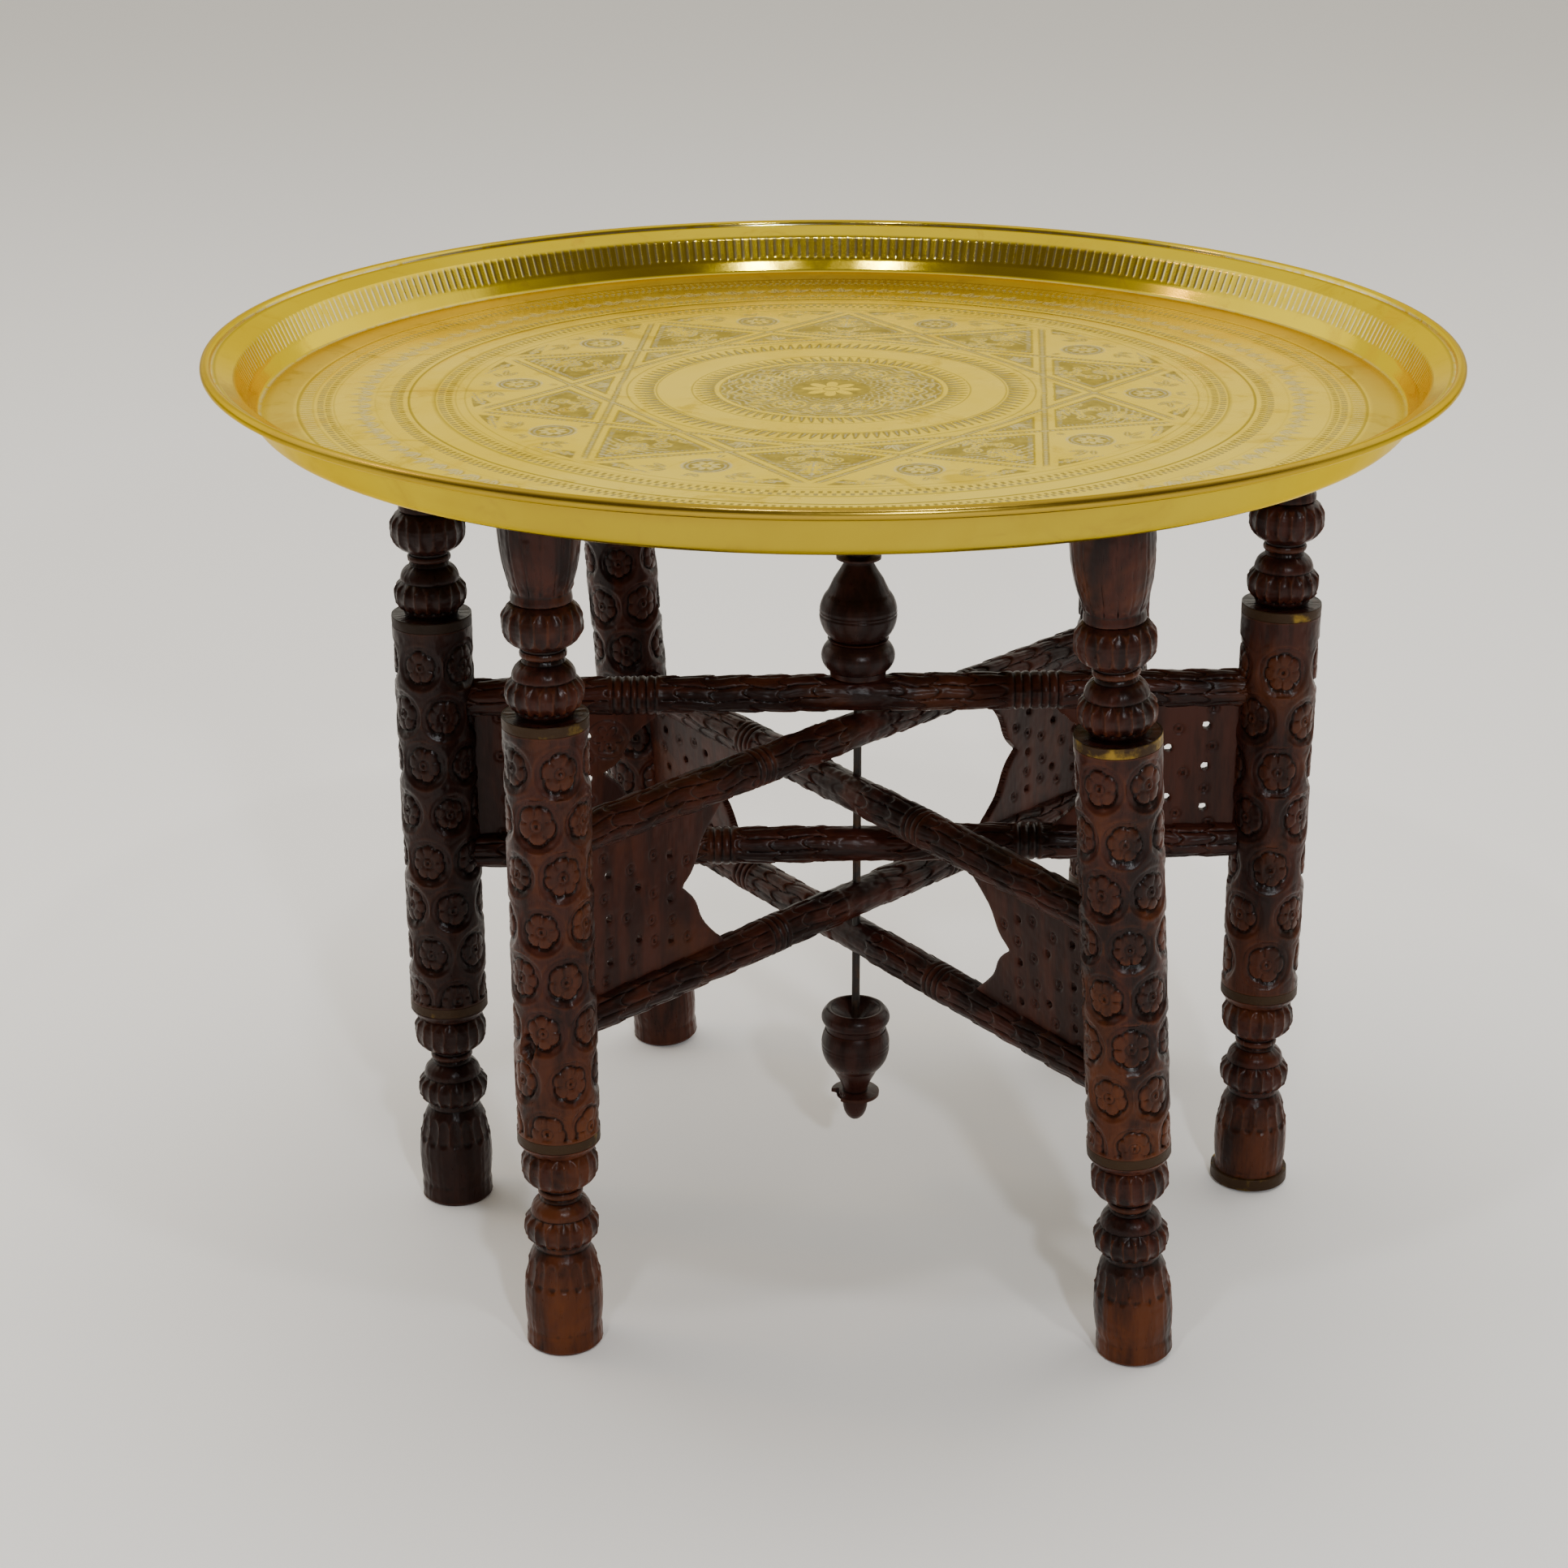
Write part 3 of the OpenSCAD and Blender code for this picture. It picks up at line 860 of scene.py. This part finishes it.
def make_panels(wood):
    for seed, (leg, (other, body, *_)) in enumerate(LEGS.items()):
        place = leg_place(leg)
        reach = (place.translation - leg_place(other).translation).length / MM / 2
        out = reach - LEG_R + PANEL_LAP
        rails = [centre(f"{body}_{which}_rail") for which in ("upper", "lower")]
        half = (rails[0] - rails[1]).length / MM / 2 - RAIL_R + PANEL_LAP
        middle = (rails[0] + rails[1]) / 2
        x, z = place.col[0].to_3d(), place.col[2].to_3d()
        front = axes(middle, x, x.cross(z))
        points, faces, edge = panel_mesh(panel_outline(out, half), half, out, seed + 11, leg == "left")
        node = f"{leg}_panel"
        build(f"{node}_fretted", node, body, "panel_wood", wood, front, points, faces, edge=edge)


# ---------------- tray
STAR_R = 130                       # from the middle to each line of the ten-pointed star
STAR_TURN = math.radians(-6)
STAR_BAND = 6.4                    # half the width of the plain bands that draw the star
SECTOR = TURN / 10
FIELD_R, BORDER_R = 128, 223.2     # where the star's field starts and ends
FLUTES, COMB = 384, 440


def leaf(x, y, at, tilt, length, width):
    """1 inside a leaf that grows from a point at a tilt from the y axis."""
    c, s = math.cos(tilt), math.sin(tilt)
    u, v = (x - at[0]) * c - (y - at[1]) * s, (x - at[0]) * s + (y - at[1]) * c
    t = clip(v / length, 0, 1)
    inside = smooth(-0.5, 0.5, width * sin(math.pi * t ** 0.8) - abs(u)) * (v > 0) * (v < length)
    return inside * (1 - 0.8 * line(u, 0, 0.7))


def leaves(x, y, width, *each):
    """Leaves of one width on both sides of the y axis, each given as its root, tilt and length."""
    return most(*(leaf(side * x, y, *one, width) for side in (-1, 1) for one in each))


def flower(x, y, petals, radius):
    """1 on the petals of a small flower, 0 between them, with an eye."""
    far, way = hypot(x, y), arctan2(y, x)
    edge = radius * (0.35 + 0.65 * abs(cos(petals * way / 2)) ** 0.7)
    return smooth(-0.6, 0.6, edge - far) * (1 - line(far, radius * 0.27, 0.9))


def teeth(r, a, lo, hi, count, slant):
    """A ring of triangular teeth: plain points with matted ground and a stroke between them."""
    t = clip((r - lo) / (hi - lo), 0, 1)
    tooth = wave((a + slant * t) / TURN * count)
    inside = window(r, lo, hi, 0.4)
    ground = smooth(-0.15, 0.15, tooth - 0.2 - 0.7 * t) * inside
    cut = 0.45 * line(tooth, 0.2 + 0.7 * t, 0.25) * inside
    silver = 0.7 * line(tooth, 1, 0.2) * (t < 0.7) * inside
    return cut, ground, silver


def rope(r, a, lo, hi, count):
    """Two rows of small square punch marks, one row between the other's marks."""
    t = (r - (lo + hi) / 2) / (hi - lo) * 2
    mark = wave(a / TURN * count + where(t > 0, 0.5, 0))
    mark = smooth(0.42, 0.62, mark) * window(abs(t), 0.12, 0.85, 0.1)
    return 0.2 * mark, 0.95 * mark, 0.3 * mark * (t > 0)


def rings_of(kind, r, a, lines, bands):
    """Cut lines, each given as radius, half width and depth, with bands of one kind over them."""
    cut = most(*(deep * line(r, at, half) for at, half, deep in lines))
    made = zip((cut, zeros_like(r), zeros_like(r)), *(kind(r, a, *band) for band in bands))
    return [most(*layer) for layer in made]


def border_bands(r, a):
    """The bands round the tray's floor: lines cut, matted ground and silvery strokes."""
    lines = ((324, 0.8, 0.9), (314.6, 0.7, 0.4), (302.4, 0.7, 0.4), (277.5, 0.6, 0.3),
             (257.6, 0.9, 1), (242, 0.7, 0.7), (229.6, 0.6, 0.4), (224, 0.7, 0.5))
    bands = ((304, 313, 420), (260.5, 269.5, 360), (231, 241, 300))
    cut, ground, silver = rings_of(rope, r, a, lines, bands)
    comb = 0.7 * line(repeated(a, COMB) * r, 0, 1.1) * window(r, 315.8, 322.6, 1)
    between = 0.6 * line(repeated(a, COMB, TURN / COMB / 2) * r, 0, 0.9) * window(r, 316.5, 322, 1)
    u, v = repeated(a, 118) * r, r - 279
    spray = most(leaf(u, v, (0, 0), 0.1, 16, 2.2), leaves(u, v, 2.1, ((0, 1), 0.7, 12)))
    shadow = most(leaf(u - 1.3, v, (0, 0), 0.1, 16, 2.4), leaves(u - 1.3, v, 2.4, ((0, 1), 0.7, 12)))
    return cut, most(ground, comb, 0.8 * shadow * (1 - spray)), most(silver, between, spray)


def star_field(r, a):
    """The ten-pointed star of plain bands, each with a dotted strip along it, its foliage on
    matted ground, and the roundels between its points."""
    az = repeated(a, 10)
    near, side = abs(az), sign(az)
    steps = (0, 1, -1, 2, -2)
    gaps = [r * cos(near - k * SECTOR) - STAR_R for k in steps]
    dots, strip, hatch = (zeros_like(r) for _ in range(3))
    closest = np.full(r.shape, 99.0)
    for gap, k in zip(gaps, steps):
        along = r * sin(near - k * SECTOR)
        dots = most(dots, 1 - smooth(0.7, 1.6, hypot(gap, (along + 1.6) % 3.2 - 1.6)))
        strip = most(strip, 1 - smooth(1.7, 2.3, abs(gap)))
        hatch = where(abs(gap) < closest, line((along + 1.3) % 2.6, 1.3, 0.8), hatch)
        closest = minimum(closest, abs(gap))
    strip = strip * (1 - smooth(212, 218, r))
    inside = [gap > 0 for gap in gaps[:3]]
    tip = inside[0] & inside[1] & ~inside[2]
    cell = inside[0] & ~inside[1]
    outer = inside[0] & inside[1] & inside[2]
    off_bands = smooth(STAR_BAND, STAR_BAND + 0.8, closest)
    bed = off_bands * (1 - smooth(219, 220, r)) * smooth(131.5, 132.5, r)
    border = window(closest, STAR_BAND + 1.2, STAR_BAND + 3.6, 0.3) * hatch
    cut = line(closest, STAR_BAND, 0.7) * (tip | cell) * 0.8
    # Tip: a plant with paired curling leaves on matted ground, hatched along its sides
    x, y = r * sin(az - side * SECTOR / 2) * side, r * cos(near - SECTOR / 2)
    plant = most(leaf(x, y, (0, 172), 0, 30, 3.2), flower(x, y - 157, 6, 5.5), leaves(
        x, y, 2.2, ((0, 148), 0.95, 13), ((0, 158), 1.1, 15), ((0, 170), 0.8, 12), ((0, 180), 0.5, 12)))
    for at, out, size in ((166, 11, 4.8), (150, 16, 4.6), (181, 7, 3.4), (193, 3.5, 2.6), (146, 6, 3.6)):
        whorl = hypot(x - out * sign(x), y - at)
        plant = most(plant, line(whorl, size, 1.0), line(whorl, size * 0.45, 0.9))
    scales = 0.8 * line((hypot(x, y - 128) + 1.6) % 4.4, 1.6, 0.75)
    plant = most(plant, scales * (plant < 0.1) * (y > 172))
    ground = most(strip * (1 - 0.6 * dots), tip * bed * (1 - 0.9 * plant))
    silver = most(0.7 * dots * strip, tip * bed * most(0.9 * line(plant, 0.5, 0.45), 0.8 * border))
    # Cell beside the ring: a silvery flower between two small leaves
    x, y = r * sin(az), r * cos(az)
    twig = most(leaves(x, y, 2.0, ((0, 136), 0.6, 13)), leaf(x, y, (0, 138), 0, 14, 1.8))
    ground = most(ground, cell * bed * (1 - 0.8 * twig))
    silver = most(silver, cell * bed * most(twig, 0.7 * border))
    # Field outside the points: a roundel with sprigs beside it
    far = hypot(x, y - 193)
    rims = most(line(far, 13.8, 1.1), line(far, 10.9, 0.8))
    petals = flower(x, y - 193, 8, 8.6)
    sprig = leaves(x, y, 2.2, ((20, 205), 1.5, 17), ((20, 205), 2.2, 13), ((18, 207), 0.9, 11))
    sprig = most(sprig, leaves(x, y, 1.8, ((0, 210), 0.6, 9)), leaf(x, y, (0, 175), math.pi, 9, 2.0))
    sprig = sprig * (closest > STAR_BAND)
    # Two long cells along the ring, one on each side of every point of the star
    corner = window(r, 224 - 1.6 * np.degrees(near - 0.06), 219.5, 0.5) * (near > 0.08) * off_bands
    blade = leaf(near * r, r, (22, 219), 1.75, 34, 2.6)
    for at in (30, 37, 44):
        blade = most(blade, leaf(near * r, r, (at, 211), 0.7, 9, 1.5))
    sprig = where(corner > 0.5, 0, sprig)
    disc = (far < 13.2) * (1 - petals)
    ground = most(ground, outer * most(disc, 0.9 * sprig, corner * (1 - 0.9 * blade)))
    silver = most(silver, outer * most(0.9 * rims, 0.7 * petals * (far > 3), 0.6 * line(sprig, 0.5, 0.4),
                                       corner * 0.9 * line(blade, 0.5, 0.45)))
    field = smooth(FIELD_R + 0.5, FIELD_R + 1.5, r) * (1 - smooth(222, 223, r))
    return cut * field, ground * field, silver * field


def middle_rings(r, a):
    """Toothed rings with a plain one between them, and the medallion in the middle."""
    lines = ((125.6, 0.7, 0.7), (107.2, 0.9, 0.7), (85.4, 0.9, 0.7), (68.4, 0.7, 0.7))
    bands = ((109, 121, 116, 0.02), (72, 83.5, 84, -0.03))
    cut, ground, silver = rings_of(teeth, r, a, lines, bands)
    az = repeated(a, 6)
    x, y = r * sin(az), r * cos(az)
    sprigs = ((14, 34), 0.2, 15), ((16, 44), 0.9, 13), ((14, 52), 1.1, 12), ((9, 60), 1.4, 10)
    design = most(
        flower(x, y - 46, 8, 6.6) * (r > 30),
        line(hypot(x, y - 46), 9.6, 1.1) * (r > 28),
        leaves(x, y, 2.3, *sprigs),
        *(line(hypot(side * x - 19, y - 40), 4.0, 0.9) for side in (-1, 1)),
    )
    design = where(r < 22.5, flower(r * sin(a), r * cos(a), 8, 18), design)
    fill = line((r + 1.5 * sin(24 * a)) % 4.6, 2.3, 0.8) * (design < 0.1) * (r > 24)
    design = most(design, 0.6 * fill)
    inner = r < 67.5
    ground = most(ground, inner * (1 - design))
    silver = where(inner & (r > 22), 0.9 * line(design, 0.5, 0.45), silver)
    return cut, ground, silver


def engraving(r, a):
    """How far each point of the tray's floor is cut, is matted ground and is silvery, 0 to 1."""
    a = a - STAR_TURN
    made = [zeros_like(r) for _ in range(3)]
    border, middle = r > BORDER_R, r <= FIELD_R
    for rows, design in ((border, border_bands), (~border & ~middle, star_field), (middle, middle_rings)):
        for whole, part in zip(made, design(r[rows], a[rows])):
            whole[rows] = part
    return made


def tray_rings():
    """Rings of the tray's surface from the middle of its floor, over the rim, to the middle below:
    radius, height and how many points each has."""
    rings = []
    for start, stop, step, n in (
        (1.0, 56, 0.95, 384), (56, 112, 0.95, 768), (112, 222.6, 0.95, 1536), (222.9, 242.8, 0.95, 3072),
        (244.5, 257, 3.0, 3072), (257, 329, 0.95, 3072), (331, 344, 3.0, 3072),
    ):
        rings += [(r, SHEET_T, n) for r in np.arange(start, stop, step)]
    wall = [
        (FLOOR_R - 2, SHEET_T), (FLOOR_R + 1, SHEET_T + 0.3), (FLOOR_R + 2.4, 2.9), (FLOOR_R + 6.4, 9.6),
        (FLOOR_R + 13.3, TRAY_H - 9.7),
    ]
    flange = [
        (FLOOR_R + 14.6, TRAY_H - 8.1), (FLOOR_R + 16.8, TRAY_H - 6.9), (BEAD_CR - 5.2, BEAD_CZ + 0.55),
    ]
    bead = arc(BEAD_CR, BEAD_CZ, BEAD_R, BEAD_R, 165, -168, 26)
    half = SHEET_T / 2
    under = [
        (BEAD_CR - 5.5, BEAD_CZ - 1.3), (FLOOR_R + 17.3, TRAY_H - 8.6), (FLOOR_R + 14.7, TRAY_H - 10.6),
        *arc(FLOOR_R - 2, half + 8, 8 + half, 8 + half, -28, -90, 8),
    ]
    for path, step, n in ((wall, 1.1, 3072), (flange, 1.6, 1536), (bead, math.inf, 768), (under, 2.4, 768)):
        rings += [(r, z, n) for r, z in resample(path, step)]
    return rings + [(r, 0, 384) for r in np.arange(FLOOR_R - 6, 8, -6.0)]


def ring_faces(counts, starts):
    """Faces between rings of points whose counts are multiples of each other, closed at both ends."""
    faces = []
    for n0, n1, s0, s1 in zip(counts, counts[1:], starts, starts[1:]):
        few, many, more = min(n0, n1), max(n0, n1), n1 >= n0
        k = many // few
        j = np.arange(few)
        lo = (s0 if more else s1) + np.stack([j, (j + 1) % few], axis=1)
        hi = (s1 if more else s0) + (j[:, None] * k + np.arange(k + 1)[None, :]) % many
        loop = np.concatenate([lo[:, ::-1], hi], axis=1)
        faces += (loop if more else loop[:, ::-1]).tolist()
    last = range(starts[-1], starts[-1] + counts[-1])
    return faces + [list(range(counts[0])), list(last)[::-1]]


def stains(x, y):
    """Old brown and olive stains on the tray's floor, 0 to 1."""
    streak = hollow(y, 4 + 5 * noise(x / 30, 0, 0, 31), 2.2) * window(x, -268, -205, 25)
    smear = 0.0
    for at_x, at_y, wide, deep, how in (
        (-215, 175, 75, 26, 0.75), (-150, 235, 70, 18, 0.7), (60, 268, 80, 9, 0.5), (25, -302, 13, 5, 0.9),
        (-50, -296, 10, 6, 0.8), (40, 60, 34, 10, 0.35), (235, 130, 50, 14, 0.4), (-120, 60, 40, 8, 0.3),
    ):
        far = ((x - at_x) / wide) ** 2 + ((y - at_y - 0.15 * (x - at_x)) / deep) ** 2
        smear = most(smear, how * exp(-far))
    brushed = 0.55 + 0.45 * noise(x / 22, y / 4.5, 0, 33) + 0.25 * noise(x / 9, y / 2.2, 0, 35)
    return clip(0.7 * streak + smear * brushed, 0, 1)


def make_tray(brass):
    rings = tray_rings()
    radii, heights, counts = zip(*rings)
    starts = [0, *np.cumsum(counts).tolist()]
    total = starts.pop()
    r, z = np.repeat(radii, counts), np.repeat(heights, counts).astype(float)
    a = np.concatenate([np.arange(n) * TURN / n for n in counts])
    x, y = r * cos(a), r * sin(a)
    top = np.arange(total) < starts[next(i for i, radius in enumerate(radii) if radius > BEAD_CR)]
    on_floor = top & (r < 330)
    layers = np.zeros((3, total))
    layers[:, on_floor] = engraving(r[on_floor], a[on_floor])
    cut, ground, silver = layers
    on_wall = top & (r > FLOOR_R + 3) & (z < TRAY_H - 9)
    wall_share = (z - 7.5) / (TRAY_H - 17)
    ragged = 0.06 * round_noise(a, 30, 0, 3)
    slit = line(repeated(a, FLUTES) * r, 0, 0.95) * window(wall_share, 0.27 + ragged, 0.97, 0.05) * on_wall
    slit_zone = window(wall_share, 0.22, 0.99, 0.04) * on_wall
    on_rim = top * (z > TRAY_H - 8)
    rim_groove = line(r, BEAD_CR - BEAD_R - 0.4, 1.0) * on_rim
    swell = 0.30 * noise(x / 70, y / 70, 0, 2) + 0.10 * noise(x / 24, y / 24, 0, 4)
    fade = 1 - smooth(FLOOR_R - 20, FLOOR_R, r)
    lift = swell * fade * smooth(0, 6, r) - 0.16 * cut - 0.12 * ground - 0.1 * silver
    lift = lift + 0.05 * ground * noise(x / 1.3, y / 1.3, 0, 6)
    beaten = 0.07 * noise(x / 14, y / 14, z / 14, 8) * (r > FLOOR_R - 2)
    radius = r + 0.22 * slit + beaten
    height = z + where(top, lift, 0) - 0.12 * slit - 0.5 * rim_groove
    points = np.stack([radius * cos(a), radius * sin(a), height], axis=1)
    floor_edge = 0.75 * line(r, FLOOR_R + 0.5, 1.6) * top * (0.6 + 0.6 * round_noise(a, 3, 0, 5))
    below = 1 - 0.66 * smooth(FLOOR_R - 4, FLOOR_R + 2, r)
    on_bead = where(r > BEAD_CR - 2, 0.75, 0) * smooth(-0.9, 0.1, noise(x / 60, y / 60, 0, 12))
    # Painted shade: the outside of the tray darkens up towards the flange and rim, with blotches over it.
    under_bead = 0.6 * smooth(TRAY_H - 17, TRAY_H - 8, z) + 0.3 * noise(x / 50, y / 50, z / 9, 14)
    values = {
        "cut": most(cut, 0.7 * line(r, BEAD_CR - BEAD_R - 2.2, 0.9) * on_rim),
        "ground": most(ground, 0.22 * slit_zone * (1 - slit)),
        "silver": most(silver, 0.9 * rim_groove, 0.75 * slit, floor_edge),
        "spun": where(top, smooth(FLOOR_R - 6, FLOOR_R + 1, r), 1),
        # The underside is duller; on top, painted shade darkens a ring of the floor by the wall.
        "dull_and_edge_shade": where(top, 0.35 * window(r, FLOOR_R - 18, FLOOR_R - 1, 4), below),
        "stains_and_shade": clip(where(on_floor, stains(x, y), most(on_bead, where(top, 0, under_bead))), 0, 1),
    }
    place = Matrix.Translation((0, 0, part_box("tray")[0].z))
    faces = ring_faces(counts, starts)
    build("tray_engraved", "tray", "tray_assembly", "tray_brass", brass, place, points, faces, 60, **values)


# ---------------- the studio
def make_floor():
    mesh = bpy.data.meshes.new("floor")
    corners = [(x * size, y * size, rise) for size, rise in ((60, 0), (150, 12))
               for x, y in ((-1, -1), (1, -1), (1, 1), (-1, 1))]
    sides = [(k, k + 4, (k + 1) % 4 + 4, (k + 1) % 4) for k in range(4)]
    mesh.from_pydata(corners, [], [(0, 1, 2, 3), *sides])
    floor = bpy.data.objects.new("floor", mesh)
    bpy.context.scene.collection.objects.link(floor)
    settings = {"Base Color": rgb(0.96, 0.96, 0.97), "Roughness": 0.9}
    mesh.materials.append(Paint("pale floor").finished(settings))


def add_light(name, at, target, size, power, colour, mirrored=True):
    data = bpy.data.lights.new(name, "AREA")
    data.shape = "DISK"
    data.size = size
    data.energy = power
    data.color = colour
    lamp = bpy.data.objects.new(name, data)
    lamp.location = at
    lamp.rotation_mode = "QUATERNION"
    lamp.rotation_quaternion = (Vector(target) - Vector(at)).to_track_quat("-Z", "Y")
    lamp.visible_glossy = mirrored
    bpy.context.scene.collection.objects.link(lamp)


def make_lights():
    pale = (1.0, 0.97, 0.93)
    middle = (0, 0, 0.4)
    for name, side in (("left", -1), ("right", 1)):
        add_light(f"{name} lamp", (0.008 + 0.365 * side, -1.0, 2.27), middle, 0.09, 6.0, pale)
        add_light(f"{name} softbox", (3.2 * side, 1.9, 2.7), middle, 4.2, 27, pale)
    add_light("far lamp", (-1.75, 0.4, 2.15), middle, 0.2, 2.4, (1.0, 0.55, 0.15))
    add_light("front lamp", (0.5, -2.6, 1.6), (0, 0, 0.25), 0.16, 27, (0.92, 0.96, 1.0))
    add_light("overhead", (0, 0.6, 3.2), (0, 0.2, 0), 3.0, 50, pale, mirrored=False)
    world = bpy.data.worlds.new("studio")
    world.use_nodes = True
    tree = world.node_tree
    spot = tree.nodes.new("ShaderNodeSeparateXYZ")
    plug(spot.inputs[0], Value(tree, tree.nodes.new("ShaderNodeTexCoord").outputs["Generated"]))
    back, up = (Value(tree, spot.outputs[k]) for k in (1, 2))
    share = (back + up * 0.35).step(-0.3, 0.7)
    plug(tree.nodes["Background"].inputs[0], share.mix(rgb(0.15, 0.122, 0.085), rgb(1.12, 1.06, 0.92)))
    plug(tree.nodes["Background"].inputs[1], 1.0)
    bpy.context.scene.world = world


def make_camera():
    """The photograph's viewing angle: just left of the middle, a metre up, looking down 21 degrees."""
    data = bpy.data.cameras.new("camera")
    data.lens = 70
    data.sensor_width = 36
    camera = bpy.data.objects.new("camera", data)
    right = Vector((0.9994, -0.0341, -0.0023)).normalized()
    forward = Vector((0.0310, 0.9317, -0.3618)).normalized()
    camera.matrix_world = axes(Vector((-0.0905, -1.8307, 0.9966)), right, -forward)
    bpy.context.scene.collection.objects.link(camera)
    bpy.context.scene.camera = camera


# ---------------- the whole
def make_all():
    near_black = rgb(0.0125, 0.0042, 0.0032)
    red_brown = rgb(0.046, 0.0118, 0.0070)
    # The left leg's wood is a darker brown than the other legs'.
    darker_brown = rgb(0.020, 0.0062, 0.0042)
    orange = rgb(0.105, 0.028, 0.0075)
    upright = (1.0, 1.0, 0.16)
    leg_woods = {
        leg: carved_wood(
            f"{leg} leg wood", near_black, darker_brown if leg == "left" else red_brown, orange, upright, worn)
        for leg, (*_, worn) in LEGS.items()
    }
    # The left leg's band stain is darker and its bare patches fewer than the other legs'.
    bare = {"left": -0.15, "right": 0.0, "front_left": 0.06, "back_right": 0.0, "front_right": 0.12,
            "back_left": 0.0, "low": -0.06, "foot": 0.02}
    band_brass = {
        band: worn_brass(f"{band} band brass", rgb(0.27, 0.17, 0.03),
                         rgb(0.016, 0.008, 0.004) if band == "left" else rgb(0.036, 0.018, 0.007), share)
        for band, share in bare.items()
    }
    make_legs(leg_woods, band_brass)
    rail_looks = {"top": ((0.2, 1, 1), 0.4, 0.33), "middle": ((0.45, 0.45, 1), 0.35, 0.36),
                  "bottom": ((0.5, 0.4, 1), 0.35, 0.36)}
    make_rails({
        f"{level}_frame": carved_wood(f"{level} rail wood", near_black, red_brown, orange, *looks)
        for level, looks in rail_looks.items()
    })
    panel_dark, panel_red = rgb(0.024, 0.0078, 0.0054), rgb(0.056, 0.0150, 0.0084)
    make_panels(carved_wood("panel wood", panel_dark, panel_red, orange, upright, 0.4, 0.38))
    turned = carved_wood("finial wood", near_black, rgb(0.036, 0.0115, 0.0082), orange, upright, 0.15)
    make_finial("top_finial", True, 41, turned)
    make_finial("bottom_finial", False, -26, turned)
    make_rod(dull_iron())
    make_tray(engraved_brass())
    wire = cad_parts["rim_wire"]
    wire.data.materials.clear()
    wire.data.materials.append(worn_brass("wire brass", rgb(0.5, 0.33, 0.1), rgb(0.3, 0.18, 0.06), 0.2))
    make_floor()
    make_lights()
    make_camera()


make_all()
